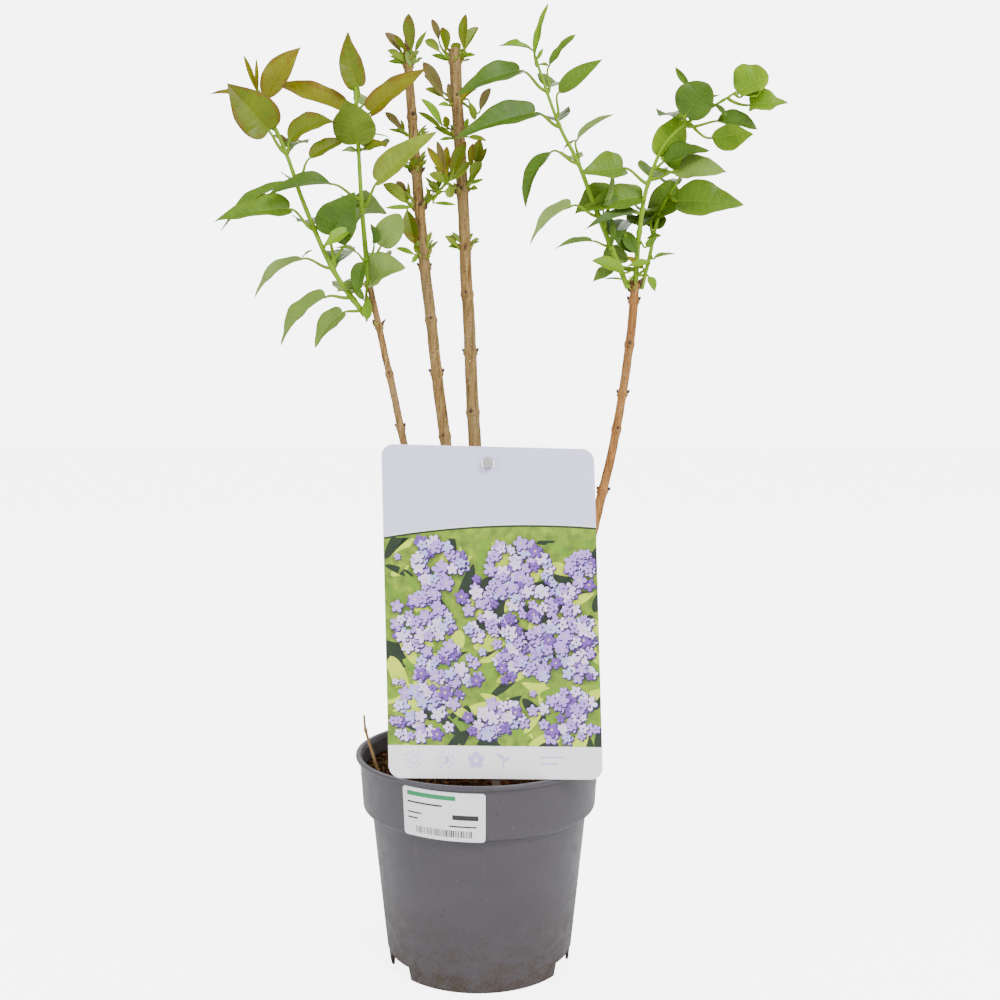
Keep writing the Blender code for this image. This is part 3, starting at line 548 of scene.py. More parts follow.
def join(parts):
    verts, faces, indices = [], [], []
    for partVerts, partFaces, index in parts:
        first = len(verts)
        verts += partVerts
        faces += [tuple(first + i for i in face) for face in partFaces]
        indices += [index] * len(partFaces)
    return verts, faces, indices


stemPaths = {}
budParts = []
for name, stem in stems.items():
    rng = random.Random(stem["seed"])
    path = stemCourse(stem, 260)
    path = [p + Vector((noise.noise(Vector((stem["seed"], 0, p.z * 0.03))),
                        noise.noise(Vector((0, stem["seed"], p.z * 0.03))), 0)) * 0.5 for p in path]
    stemPaths[name] = path
    nodes = [heightSeen(path, py) for py in stem["nodesAt"]]
    radii = []
    for p in path:
        radius = between(stem["radii"], p.z)
        for spot in nodes:
            radius += 0.62 * math.exp(-((p.z - spot.z) / 1.7) ** 2)
        radii.append(radius)
    piece = growTubes(name + "_bark", [(path, radii)], mats[stem["bark"]], 28, 0.85, 620.0, 0.16)
    settle(piece, "bark", name)
    for i, spot in enumerate(nodes):
        k = path.index(spot)
        along = (path[min(k + 3, len(path) - 1)] - path[max(k - 3, 0)]).normalized()
        turn = math.radians(90 * (i % 2) + rng.uniform(-18, 18))
        for half in (0, math.pi):
            outward = Vector((math.cos(turn + half), math.sin(turn + half), 0))
            radius = between(stem["radii"], spot.z)
            foot = spot + outward * (radius + 0.05) + along * 0.7
            size = rng.uniform(0.85, 1.2)
            verts, faces = budShape(foot, outward, along, 2.6 * size, 1.05 * size)
            budParts.append((verts, faces, 0))
            verts, faces = budShape(foot - along * 1.7, outward, along * 0.3 + outward, 1.0, 1.1 * size)
            budParts.append((verts, faces, 1))
verts, faces, indices = join(budParts)
buds = newPiece("stem_buds", verts, faces, [mats["budDark"], mats["bark"]], indices)
turnOutwards(buds)
settle(buds, "bark")

# the pale sawn top of the thickest stem, and the dry stub on its neighbour
cutPlan = {"cut": (2.9, 0.5), "stub": (1.6, 3.4)}
cutRuns = []
for name, (radius, high) in (("stem_mid_right", cutPlan["cut"]), ("stem_mid_left", cutPlan["stub"])):
    end = stemPaths[name][-1]
    along = (end - stemPaths[name][-4]).normalized()
    cutRuns.append(([end - along * 0.4, end + along * high * 0.5, end + along * high], [radius, radius * 0.97, radius * 0.9]))
settle(growTubes("stem_cut_ends", cutRuns, mats["cutWood"], 24, 0.2), "bark")
print("woody stems grown:", len(stemPaths))


# the root crown: a low knot of bark that the stems rise from
crownPlan = {"middle": (6.5, 2.0), "size": (19.0, 17.0, 13.0), "ground": 120.0, "bumps": 0.16, "rings": 60}


def makeRootCrown():
    bm = bmesh.new()
    bmesh.ops.create_uvsphere(bm, u_segments=72, v_segments=48, radius=1.0)
    for vert in bm.verts:
        ray = vert.co.copy()
        bump = 1 + 0.12 * noise.noise(ray * 1.7 + Vector((3.1, 0.4, 7.7)))
        bump += 0.06 * noise.noise(ray * 6.0) + 0.03 * noise.noise(ray * 17.0)
        x, y, z = (c * s * bump for c, s in zip(ray, crownPlan["size"]))
        z = z if z > 0 else z * 0.12
        vert.co = Vector((crownPlan["middle"][0] + x, crownPlan["middle"][1] + y, crownPlan["ground"] - 1.0 + z)) * mm
    mesh = bpy.data.meshes.new("root_crown_bark")
    bm.to_mesh(mesh)
    bm.free()
    mesh.materials.append(mats["bark"])
    mesh.shade_smooth()
    piece = bpy.data.objects.new("root_crown_bark", mesh)
    bpy.context.scene.collection.objects.link(piece)
    return piece


settle(makeRootCrown(), "bark", "root_crown")
print("root crown made")


# green shoots
shoots = {
    "shoot_left_outer": {
        "places": [(-66.6, -5.5, 391.5), (-84.8, -9, 418), (-101, -12, 456), (-110, -15, 483), (-125, -18, 518)],
        "radii": (1.75, 0.95), "nodesAt": [299, 269, 228, 183, 153, 131],
    },
    "shoot_left_inner": {
        "places": [(-64.4, -4.2, 410.4), (-66.5, -6, 436), (-68.5, -7, 468), (-70.5, -8, 522)],
        "radii": (1.8, 1.0), "nodesAt": [262, 210, 150, 103],
    },
    "shoot_right_a": {
        "places": [(88.2, -1.5, 407.5), (70.4, -3, 449.4), (58.2, -5, 479.5), (46.4, -7, 502), (32.4, -9, 540)],
        "radii": (1.75, 0.8), "nodesAt": [243, 216, 163, 124, 90, 60],
    },
    "shoot_right_b": {
        "places": [(92.6, -0.2, 411.4), (94.4, -3, 440), (98.9, -8, 468), (112, -13, 494), (147, -20, 517)],
        "radii": (1.75, 0.7), "nodesAt": [232, 213, 182, 123, 101],
    },
    "shoot_right_c": {
        "places": [(96.4, 1.6, 407.5), (101.4, 6, 426), (107.5, 10, 452), (119.5, 14, 473)],
        "radii": (1.45, 0.7), "nodesAt": [235, 215, 186],
    },
}
shootPaths = {}
for name, shoot in shoots.items():
    path = catmullRom(shoot["places"], 120)
    shootPaths[name] = path
    spots = [heightSeen(path, py) for py in shoot["nodesAt"]]
    thick, thin = shoot["radii"]
    radii = []
    for i, p in enumerate(path):
        radius = thick + (thin - thick) * i / 120
        for spot in spots:
            radius += 0.35 * math.exp(-((p - spot).length / 1.5) ** 2)
        radii.append(radius)
    settle(growTubes(name + "_green", [(path, radii)], mats["shoot"], 16, 0.25, 300.0, 0.2), "green_shoot", name)
print("green shoots grown:", len(shootPaths))


# leaves
leafPlan = {"thickness": 0.26, "sweep": 0.12, "veinHalf": 0.0075, "ribFoot": 0.50, "ribTip": 0.13, "groove": 0.10,
            "quilt": 0.017, "veinFrom": 0.09, "veinSpan": 0.76, "stalkRadius": 0.88, "standOff": 2.0,
            "together": 3.5}
leafKinds = {   # growth of the width from the stalk, its fall to the tip, how far the lobes reach back, drawn-out tip
    "heart": (0.46, 0.98, 0.090, 0.22), "ovate": (0.66, 1.02, 0.02, 0.20), "oval": (0.52, 0.70, 0.03, 0.0),
    "lance": (0.85, 1.0, 0.0, 0.0), "spoon": (1.10, 0.82, 0.0, 0.0),
}


def outlineAt(t, kind):
    # half width from 0 to 1, and the place along the blade, of the edge; t runs from the stalk to the tip
    grow, fall, lobe, drawn = leafKinds[kind]
    peak = grow / (grow + fall)
    width = (t ** grow) * ((1 - t) ** fall) / ((peak ** grow) * ((1 - peak) ** fall)) if 0 < t < 1 else 0.0
    width *= 1 - drawn * min(1.0, max(0.0, (t - 0.50) / 0.36))
    return width, t - lobe * 4.2 * math.sqrt(t) * (1 - t) ** 5


def leafRows(pairs, gaps):
    # rows across the blade as (place, side of a vein); a vein lies between two rows of the same place
    if pairs == 0:
        return [(t, 0) for t in (0, 0.01, 0.04, 0.09, 0.16, 0.25, 0.36, 0.47, 0.58, 0.69, 0.79, 0.87, 0.93, 0.97, 0.99, 1)]
    rows = [(t, 0) for t in (0, 0.004, 0.014, 0.032, 0.058, 0.088, 0.116)]
    pitch = leafPlan["veinSpan"] / pairs
    for j in range(pairs):
        spot = leafPlan["veinFrom"] + pitch * (j + 0.5)
        rows += [(spot, -1), (spot, 1)]
        rows += [(spot + pitch * (q + 1) / (gaps + 1), 0) for q in range(gaps)]
    last = rows[-1][0]
    return rows + [(last + (1 - last) * u, 0) for u in (0.18, 0.36, 0.53, 0.68, 0.80, 0.89, 0.95, 0.985, 1)]


def leafShape(leaf, foot, rng):
    # returns verts, faces and face kinds of one closed thin blade
    base = seenAt(*leaf["base"], foot.y + leaf["away"][0])
    tip = seenAt(*leaf["tip"], foot.y + leaf["away"][1])
    axis = (tip - base)
    length = axis.length
    axis.normalize()
    look = Vector(leaf["face"])
    facing = (look - axis * look.dot(axis)).normalized()
    wide, kindName = leaf["wide"], leaf["kind"]
    small = length < 15 or wide < 5.5 or kindName == "spoon"
    pairs = 0 if small else 7
    rows = leafRows(pairs, 2)
    shares = [0.0, 0.45, 0.85, 1.0] if small else [0.0, 0.17, 0.36, 0.56, 0.75, 0.90, 1.0]
    control = (base + tip) / 2 + facing * leaf.get("arch", 0.1) * length
    control += axis.cross(facing).normalized() * leaf.get("sway", 0.0) * length
    fold = math.radians(leaf.get("fold", 19.0))
    cup = leaf.get("cup", 0.10)
    wave = leaf.get("wave", 0.042)
    twist = math.radians(leaf.get("twist", rng.uniform(-12, 12)))
    phase = rng.uniform(0, 6.28)
    pitch = leafPlan["veinSpan"] / max(pairs, 1)

    def centre(x):
        if x < 0:
            return base + (control - base).normalized() * x * length
        return base.lerp(control, x).lerp(control.lerp(tip, x), x)

    def place(row, k, side):
        t = row[0] + row[1] * leafPlan["veinHalf"] * (1 - 0.8 * shares[max(k - 1, 0)])
        width, edge = outlineAt(t, kindName)
        half = max(0.5 * wide * width, 0.001)
        ribShare = min(0.45, (leafPlan["ribFoot"] * (1 - t) + leafPlan["ribTip"] * t) * min(1.0, wide / 16) / half)
        s = 0.0 if k == 0 else ribShare + (1 - ribShare) * shares[k - 1]
        swept = t - leafPlan["sweep"] * math.sin(math.pi * t) * (0.3 if small else 1.0)
        along = swept + (edge - swept) * s
        clamped = min(max(along, 0.0), 0.999)
        tangent = (control - base).lerp(tip - control, clamped).normalized()
        up = (facing - tangent * facing.dot(tangent)).normalized()
        up = Matrix.Rotation(twist * (clamped - 0.5), 3, tangent) @ up
        right = tangent.cross(up)
        y = half * s
        point = centre(along) + right * side * y * math.cos(fold) + up * y * math.sin(fold)
        lift = cup * y * y / wide * 2
        ripple = math.sin(side * 1.3 + phase + 11 * along) + 0.3 * math.sin(side * 2.1 + 2 * phase + 24 * along)
        lift += wave * wide * s * s * ripple * (1 - clamped) ** 0.3
        if k == 0:
            lift -= leafPlan["groove"] * min(1.0, wide / 16)
        if pairs:
            fromVein = abs((t - leafPlan["veinFrom"]) / pitch % 1 - 0.5) * 2
            lift += leafPlan["quilt"] * wide * (1 - fromVein ** 2.0 if row[1] == 0 else 0) * math.sin(math.pi * s) * width \
                * (1 if 0.05 < t < 0.88 else 0.3)
        return point + up * lift, up

    spread = range(len(shares) + 1)
    columns = [(-1, k) for k in reversed(spread[1:])] + [(1, k) for k in spread]
    top, under = [], []
    for row in rows:
        for side, k in columns:
            spot, up = place(row, k, side)
            thin = leafPlan["thickness"] * (1 - 0.6 * k / len(shares))
            top.append(spot + up * thin * 0.5)
            under.append(spot - up * thin * 0.5)
    count, middle, shift = len(columns), len(shares), len(top)
    faces, kinds = [], []
    edgeBand = leaf.get("edge", False)
    brown = 1 - leaf.get("brownTip", 0.0)
    for i in range(len(rows) - 1):
        isVein = rows[i][1] < 0
        t = (rows[i][0] + rows[i + 1][0]) / 2
        for k in range(count - 1):
            a, b, c, d = i * count + k, i * count + k + 1, (i + 1) * count + k + 1, (i + 1) * count + k
            ring = abs(k + 0.5 - middle) / middle
            onRib = k in (middle - 1, middle)
            grain = noise.noise(Vector((t * 6, (k - middle) * 0.55, phase * 3)))
            kind = "upper"
            if ring + 0.45 * grain > 0.74 or t + 0.3 * grain > 0.86:
                kind = "blush"
            if (isVein and ring < 0.95) or (onRib and t < 0.97):
                kind = "vein"
            if edgeBand and (k in (0, count - 2) or t > 0.985) or t > brown + 0.22 * grain:
                kind = "edge"
            faces.append((a, b, c, d))
            kinds.append(kind)
            faces.append((shift + d, shift + c, shift + b, shift + a))
            below = "vein" if onRib else "under"
            kinds.append("edge" if t > brown + 0.22 * grain else below)
    rim = [k for k in range(count)]
    rim += [i * count + count - 1 for i in range(1, len(rows))]
    rim += [(len(rows) - 1) * count + k for k in range(count - 2, -1, -1)]
    rim += [i * count for i in range(len(rows) - 2, 0, -1)]
    for a, b in zip(rim, rim[1:] + rim[:1]):
        faces.append((b, a, shift + a, shift + b))
        kinds.append("edge" if edgeBand else "under")
    return top + under, faces, kinds, base, (control - base).normalized()


def stalkPath(foot, base, heading, outward):
    # from the shoot out and round to the blade, a little way in under its midrib
    run = (base - foot).length
    a = foot + (outward * 0.45 + (base - foot).normalized() * 0.55) * run * 0.4
    b = base - heading * run * 0.35
    path = []
    for i in range(13):
        t = i / 12
        path.append(((1 - t) ** 3) * foot + 3 * ((1 - t) ** 2) * t * a + 3 * (1 - t) * t * t * b + t ** 3 * base)
    return path + [base + heading * 1.2]


def nearestOn(path, px, py):
    return min(range(len(path)), key=lambda i: (seenPixel(path[i])[0] - px) ** 2 + (seenPixel(path[i])[1] - py) ** 2)


def growLeaves(name, path, leaves, nodes, slot, seed, stalkName):
    rng = random.Random(seed)
    verts, faces, indices, used, stalks = [], [], [], [], []
    for leaf in leaves:
        k = nearestOn(path, *leaf["foot"])
        foot = path[k]
        along = (path[min(k + 2, len(path) - 1)] - path[max(k - 2, 0)]).normalized()
        blade, bladeFaces, kinds, base, heading = leafShape(leaf, foot, rng)
        outward = base - foot
        outward = (outward - along * outward.dot(along)).normalized() if outward.length > 0.5 else Vector((0, -1, 0))
        first = len(verts)
        verts += blade
        faces += [tuple(first + i for i in face) for face in bladeFaces]
        tint = leaf.get("tint", "mid")
        for kind in kinds:
            key = f"{tint}_{kind}"
            if key not in used:
                used.append(key)
            indices.append(used.index(key))
        joined = any(other.get("stalk", True) and math.dist(other["base"], leaf["base"]) < leafPlan["together"]
                     for other in leaves if other is not leaf)   # it grows from another blade's foot
        if leaf.get("stalk", True) or (not joined and (base - foot).length > leafPlan["standOff"]):
            stalk = stalkPath(foot + outward * 0.6, base, heading, outward)
            thick = leafPlan["stalkRadius"] * (0.75 + min(leaf["wide"], 30) / 60)
            stalks.append((stalk, [thick * (1.25 - 0.55 * i / (len(stalk) - 1)) for i in range(len(stalk))]))
    piece = newPiece(name, verts, faces, [mats[key] for key in used], indices)
    turnOutwards(piece)
    settle(piece, slot, *nodes)
    if stalks:
        settle(growTubes(stalkName, stalks, mats["petiole"], 8), "green_shoot")
    print(name, "leaves:", len(leaves), "triangles:", sum(len(f) - 2 for f in faces))


def massesOf(prefix):
    return [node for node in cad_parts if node.startswith(prefix)]


def leaf(foot, base, tip, away, wide, tint="mid", kind="heart", face=(0, -0.85, 0.5), **more):
    # foot, base and tip are pixels of the photograph: on the limb, and at the blade's two ends;
    # away is how much further from the viewer than the foot those ends are, face where the upper side looks
    return {"foot": foot, "base": base, "tip": tip, "away": away, "wide": wide, "tint": tint, "kind": kind,
            "face": face, **more}


def backLeaves(path, rows, seed, tints, size=(24, 34), stalk=9.0):
    # one leaf a node that grows away from the viewer, so that the crown is full behind as well
    rng = random.Random(seed)
    grown = []
    for i, py in enumerate(rows):
        spot = heightSeen(path, py)
        turn = math.radians(rng.uniform(-24, 24))
        rise = math.radians(rng.uniform(8, 34))
        out = Vector((math.sin(turn) * math.cos(rise), math.cos(turn) * math.cos(rise), math.sin(rise)))
        length = rng.uniform(*size)
        base = spot + out * stalk
        tip = base + out * length * 0.92 - Vector((0, 0, 0.12 * length))
        grown.append(leaf(seenPixel(spot), seenPixel(base), seenPixel(tip), (base.y - spot.y, tip.y - spot.y),
                          length * rng.uniform(0.58, 0.7), tints[i % len(tints)],
                          face=(rng.uniform(-0.25, 0.25), -0.25, 1.0), arch=0.12))
    return grown


leftOuterLeaves = [
    leaf((285, 152), (269, 131), (227, 83), (-5, -10), 26, "olive", face=(-0.1, -1, 0.3), cup=0.08, edge=True, arch=0.05),
    leaf((276, 130), (247, 97), (210, 94), (6, 14), 9, "amber", "ovate", (0, -0.6, 0.8), stalk=False, brownTip=0.25),
    leaf((272, 120), (257, 92), (243.5, 54.5), (0, 2), 4.2, "amber", "lance", edge=True, stalk=False, fold=40),
    leaf((272, 120), (258, 91), (256.5, 58), (1, 1), 3, "amber", "lance", stalk=False, fold=40),
    leaf((274, 125), (266, 98), (301, 47), (4, 8), 16, "amber", "ovate", (0.1, -1, 0.2), edge=True, arch=0.06, sway=-0.10),
    leaf((287, 153), (290, 140), (336, 122.5), (-2, -7), 17, "olive", "ovate", (0.1, -0.85, 0.6), edge=True,
         arch=0.16, sway=-0.16),
    leaf((286, 152), (288, 142), (273, 135), (3, 7), 4, "bronze", "lance", stalk=False),
    leaf((301, 183), (310, 158), (347, 139), (-3, 6), 12, "olive", "ovate", (0.1, -0.8, 0.7), edge=True, arch=0.1),
    leaf((301, 183), (288, 184), (221, 231), (4, 2), 15, "mid", "ovate", (-0.3, -0.55, 0.8), arch=0.17),
    leaf((312, 230), (289, 209), (213, 222), (-6, -14), 19, "mid", "heart", (-0.1, -0.75, 0.65), arch=0.10, wave=0.05),
    leaf((330, 269), (302, 259), (254.5, 298), (-4, -12), 14, "pale", "ovate", (-0.35, 0.33, 0.85), arch=0.22),
    leaf((330, 269), (302, 258), (313, 250), (-2, 2), 4, "pale", "lance", (0, 0.3, 1), stalk=False),
    leaf((348, 298), (326, 297), (281, 345), (-5, -14), 21, "pale", "heart", (-0.5, -0.52, 0.7), arch=0.16, sway=0.06),
    leaf((357, 313), (343, 313), (315, 348.5), (-4, -8), 14.5, "pale", "heart", (-0.35, -0.8, 0.5), arch=0.12, sway=0.1),
    leaf((334, 266), (332, 236), (355, 192), (-3, -8), 26, "deep", "heart", (0.05, -1, 0.25), cup=0.12),
    leaf((331, 262), (349, 230), (324, 247), (-8, -13), 9, "light", "ovate", (0, -0.9, 0.5), stalk=False),
    leaf((322, 249), (330, 240), (346, 246), (2, 8), 7, "deep", "ovate", (0, -0.7, 0.7), stalk=False),
]
leftInnerLeaves = [
    leaf((357, 96), (358, 87), (348, 31), (0, -3), 15, "olive", "heart", (0.1, -1, 0.05), edge=True, cup=0.05, arch=0.02,
         sway=-0.12, brownTip=0.05, wave=0.07),
    leaf((357, 96), (353, 85), (345, 53), (3, 5), 8, "amber", "oval", (-0.3, -1, 0), stalk=False),
    leaf((358, 104), (342, 107), (269, 82), (3, 8), 16, "amber", "heart", (0, -0.75, 0.55), edge=True, arch=0.07),
    leaf((358, 118), (371, 112), (429, 67), (-2, -8), 17, "amber", "heart", (-0.2, -0.9, 0.5), edge=True, arch=0.07),
    leaf((360, 150), (357, 144), (346, 99), (-5, -25), 25, "olive", "heart", (0, 0.8, 0.45), edge=True, arch=0.06, fold=8),
    leaf((360, 150), (357, 151), (341, 151), (-1, -4), 5, "pale", "ovate", (0, -0.8, 0.6), edge=False, stalk=False),
    leaf((361, 150), (363, 150), (388, 144), (-1, -5), 9, "olive", "ovate", (-0.1, -0.8, 0.6), stalk=False),
    leaf((361, 134), (366, 134), (391, 138), (0, 0), 1.4, "pale", "lance", (0, -0.8, 0.6), stalk=False, arch=0.15),
    leaf((363, 208), (378, 181), (438, 131), (-6, -14), 18, "young", "heart", (-0.25, -0.85, 0.4), arch=0.08, fold=20),
    leaf((362, 200), (331, 184), (268, 195), (-10, -20), 17, "deep", "ovate", (-0.05, -0.5, 0.9), edge=True, fold=32),
    leaf((363, 216), (347, 209), (387, 214), (6, 12), 19, "pale", "ovate", (0, 0.65, 0.75), arch=0.25, stalk=False),
    leaf((363, 216), (361, 214), (349, 238), (-5, -12), 9, "pale", "ovate", (-0.5, -0.7, 0.3), stalk=False),
    leaf((365, 262), (356, 252), (335, 248), (-3, -8), 6, "pale", "ovate", (0, 0.3, 0.9), arch=0.15),
    leaf((366, 264), (381, 246), (400, 214), (-4, -6), 17, "pale", "oval", (0.2, -0.95, 0.2)),
    leaf((366, 262), (374, 244), (370, 223), (-7, -12), 8, "deep", "ovate", (0.6, -0.7, 0.2), stalk=False, fold=35),
    leaf((369, 286), (372, 280), (406, 268), (-4, -16), 24, "pale", "heart", (0.1, -0.85, 0.5), cup=0.14, arch=0.12, sway=-0.12),
    leaf((366, 262), (363, 262), (357, 295), (-6, -10), 11, "deep", "ovate", (-0.4, -0.9, 0), stalk=False),
    leaf((368, 288), (357, 286), (336, 292), (-3, -6), 8, "pale", "ovate", (0, -0.7, 0.7), stalk=False),
    leaf((371, 320), (367, 319), (368, 295), (-3, -4), 6.5, "light", "ovate", (0, -1, 0.1), stalk=False),
    leaf((369, 300), (364, 300), (352, 283), (-4, -6), 5, "mid", "lance", (0, -1, 0.1), stalk=False),
]
rightALeaves = [
    leaf((535, 60), (535, 58), (548.5, 3), (0, -2), 6, "light", "lance", (-0.6, -1, 0), fold=42, wave=0.13, stalk=False),
    leaf((537, 66), (531, 49), (499, 46), (-1, -3), 7, "light", "lance", (0, -0.7, 0.7), fold=35, wave=0.1, arch=0.1),
    leaf((536, 62), (537, 60), (543.5, 48), (-1, -2), 2.6, "light", "lance", (0, -1, 0.2), stalk=False),
    leaf((547, 92), (549, 66), (577, 33.5), (0, -3), 6.5, "mid", "lance", (-0.5, -0.9, 0.2), fold=36, wave=0.14),
    leaf((547, 92), (549, 66), (537, 65), (0, 1), 3.5, "light", "ovate", (0, -0.7, 0.7), stalk=False),
    leaf((546, 90), (520, 71), (457, 95), (-6, -14), 18, "deep", "heart", (-0.1, -0.8, 0.6), arch=0.12, fold=18),
    leaf((556, 118), (559, 92), (603, 59), (-2, -7), 11, "mid", "ovate", (-0.3, -0.95, 0.1)),
    leaf((559, 126), (535, 113), (455, 139), (-8, -18), 20, "deep", "heart", (-0.1, -0.8, 0.6), arch=0.10, fold=22),
    leaf((577, 162), (577, 140), (615, 114), (2, 6), 9, "pale", "ovate", (-0.4, 0.2, 0.8), fold=30, arch=0.1),
    leaf((577, 162), (577, 140), (563, 150), (0, 2), 4, "pale", "lance", (0, -0.5, 0.8), stalk=False),
    leaf((577, 163), (551, 152), (526, 209), (-6, -12), 12, "deep", "ovate", (-0.65, -0.7, 0.3), arch=0.22, sway=0.1),
    leaf((598, 216), (571, 206), (530, 245), (-6, -12), 14, "pale", "heart", (-0.5, 0.45, 0.7), arch=0.2, fold=24),
    leaf((611, 247), (592, 241), (554, 249), (-4, -10), 8, "deep", "ovate", (0, 0.25, 0.9), arch=0.1, fold=30),
    leaf((600, 220), (613, 187), (575, 214), (5, 2), 16, "mid", "ovate", (-0.1, -0.75, 0.6), arch=0.1),
    leaf((604, 228), (604, 206), (612, 171), (-4, -6), 6, "pale", "lance", (0.7, -0.7, 0), fold=30),
    leaf((612, 250), (610, 248), (611, 216), (-4, -6), 5, "deep", "lance", (0.5, -0.8, 0), stalk=False, fold=30),
]
rightBLeaves = [
    leaf((735, 94), (738, 93), (769, 77), (-1, -4), 22, "light", "oval", (-0.1, -0.95, 0.35), cup=0.16, fold=16, sway=-0.12,
         wave=0.09),
    leaf((735, 94), (741, 97), (769, 90), (-3, -9), 9.5, "mid", "ovate", (0, -0.6, 0.8), stalk=False),
    leaf((728, 99), (750, 105), (788, 103), (-2, -5), 16, "light", "heart", (0.1, -0.85, 0.5), arch=0.1, sway=0.05,
         wave=0.08),
    leaf((684, 121), (685, 116), (709, 84), (-5, -8), 24, "deep", "oval", (0, -0.95, 0.35), cup=0.1),
    leaf((697, 112), (694, 108), (720, 95), (-2, -2), 5.5, "pale", "lance", (0, -0.6, 0.8), stalk=False),
    leaf((690, 117), (690, 86), (675, 67), (3, 5), 4.5, "mid", "lance", (-0.6, -0.8, 0)),
    leaf((660, 152), (663, 157), (683, 112), (5, 8), 20, "light", "heart", (-0.1, -1, 0.1), stalk=False),
    leaf((684, 122), (717, 121), (758, 130), (-4, -10), 15, "deep", "ovate", (0.15, -0.8, 0.6), arch=0.14, sway=-0.06),
    leaf((688, 122), (712, 138), (754, 134), (2, 0), 17, "light", "ovate", (0.1, -0.85, -0.4), arch=-0.12, stalk=False),
    leaf((712, 103), (714, 104), (727, 117), (-2, -5), 4, "deep", "lance", (0, -0.8, 0.6), stalk=False),
    leaf((655, 168), (665, 161), (710, 151), (-3, -12), 17, "deep", "heart", (0, -0.7, 0.7), arch=0.12, stalk=False),
    leaf((655, 168), (690, 173), (659, 158), (4, -2), 13, "light", "ovate", (0, -0.9, 0.4), stalk=False),
    leaf((650, 179), (679, 170), (727, 172), (-6, -18), 19, "pale", "heart", (0.1, -0.85, 0.5), arch=0.08, fold=10),
    leaf((647, 184), (623, 168), (581, 173), (-5, -12), 19.5, "mid", "heart", (-0.1, -0.9, 0.4), cup=0.12, arch=0.06),
    leaf((643, 198), (642, 197), (578, 212), (3, 2), 18.5, "mid", "heart", (-0.1, -0.85, 0.5), arch=0.1, stalk=False),
    leaf((640, 213), (625, 206), (602, 206), (1, -4), 11, "deep", "ovate", (0, -0.85, 0.5), stalk=False),
    leaf((640, 214), (637, 213), (584, 230), (-3, -9), 10, "deep", "ovate", (0, -0.6, 0.8), fold=34, stalk=False),
    leaf((638, 250), (636, 251), (610, 230), (2, 2), 12, "deep", "ovate", (-0.1, -0.9, 0.3), stalk=False),
    leaf((637, 240), (625, 236), (638, 256), (0, -4), 8, "deep", "ovate", (0, -0.9, 0.2), stalk=False),
    leaf((637, 268), (623, 272), (592, 261), (-6, -12), 10.5, "light", "oval", (-0.1, -0.8, 0.6), stalk=False),
    leaf((637, 262), (628, 259), (600, 258), (3, 2), 12, "pale", "ovate", (0, -0.85, 0.5), stalk=False),
    leaf((637, 268), (613, 268), (592.5, 282), (-2, -6), 9, "pale", "ovate", (-0.3, -0.8, 0.3), stalk=False),
    leaf((637, 276), (626, 281), (604.5, 279), (-5, -9), 2.6, "light", "lance", (0, -0.6, 0.8), stalk=False),
    leaf((637, 276), (648, 262), (627, 266), (-6, -8), 5, "light", "ovate", (0, -0.9, 0.3), stalk=False),
    leaf((637, 276), (643, 268), (626, 256), (-4, -4), 5, "amber", "ovate", (0, -0.9, 0.3), stalk=False),
    leaf((637, 276), (649, 277), (655, 292), (-5, -9), 6, "light", "ovate", (0.2, -0.9, 0.3), stalk=False),
    leaf((639, 240), (646, 247), (658, 236), (-3, -5), 4.5, "mid", "ovate", (0, -0.9, 0.3), stalk=False),
    leaf((636, 270), (606, 262), (622, 244), (6, 9), 11, "pale", "ovate", (0, -0.9, 0.3), stalk=False),
]
rightCLeaves = [
    leaf((671, 198), (679, 201), (744, 205), (-12, -20), 25, "mid", "heart", (0.05, -0.9, 0.45), fold=12, arch=0.06),
    leaf((665, 208), (679, 190), (643, 226), (4, 0), 20, "mid", "heart", (-0.1, -0.95, 0.3), cup=0.1),
    leaf((656, 235), (656, 214), (675, 207), (2, 4), 5, "pale", "lance", (0, -0.6, 0.8)),
    leaf((650, 256), (653, 259), (676, 254), (-2, -5), 6, "pale", "ovate", (0, -0.4, 0.9), stalk=False),
    leaf((655, 238), (648, 238), (662, 236), (-1, -3), 4, "mid", "lance", (0, -0.8, 0.6), stalk=False),
    leaf((679, 180), (680, 177), (688, 160), (2, 5), 9, "deep", "ovate", (0, -0.9, 0.4), stalk=False),
]

crown = {
    "leaves_left_outer": {"on": "shoot_left_outer", "seen": leftOuterLeaves, "stand": "leaves_left_",
                          "behind": [299, 269, 228, 183, 153], "tints": ["pale", "mid", "deep"], "seed": 21},
    "leaves_left_inner": {"on": "shoot_left_inner", "seen": leftInnerLeaves, "stand": "leaves_inner_",
                          "behind": [262, 210, 150, 110], "tints": ["pale", "mid", "olive"], "seed": 22},
    "leaves_right_a": {"on": "shoot_right_a", "seen": rightALeaves, "stand": "leaves_right_a_",
                       "behind": [243, 216, 163, 124, 90], "tints": ["deep", "mid", "light"], "seed": 23},
    "leaves_right_b": {"on": "shoot_right_b", "seen": rightBLeaves, "stand": "leaves_right_b",
                       "behind": [232, 213, 182, 123], "tints": ["deep", "mid", "light"], "seed": 24},
    "leaves_right_c": {"on": "shoot_right_c", "seen": rightCLeaves, "stand": "leaves_right_c",
                       "behind": [235, 215, 190], "tints": ["mid", "deep"], "seed": 25},
}
for name, plan in crown.items():
    path = shootPaths[plan["on"]]
    grown = plan["seen"] + backLeaves(path, plan["behind"], plan["seed"], plan["tints"])
    masses = massesOf(plan["stand"])
    growLeaves(name, path, grown, masses, "leaf", plan["seed"], name.replace("leaves", "stalks"))


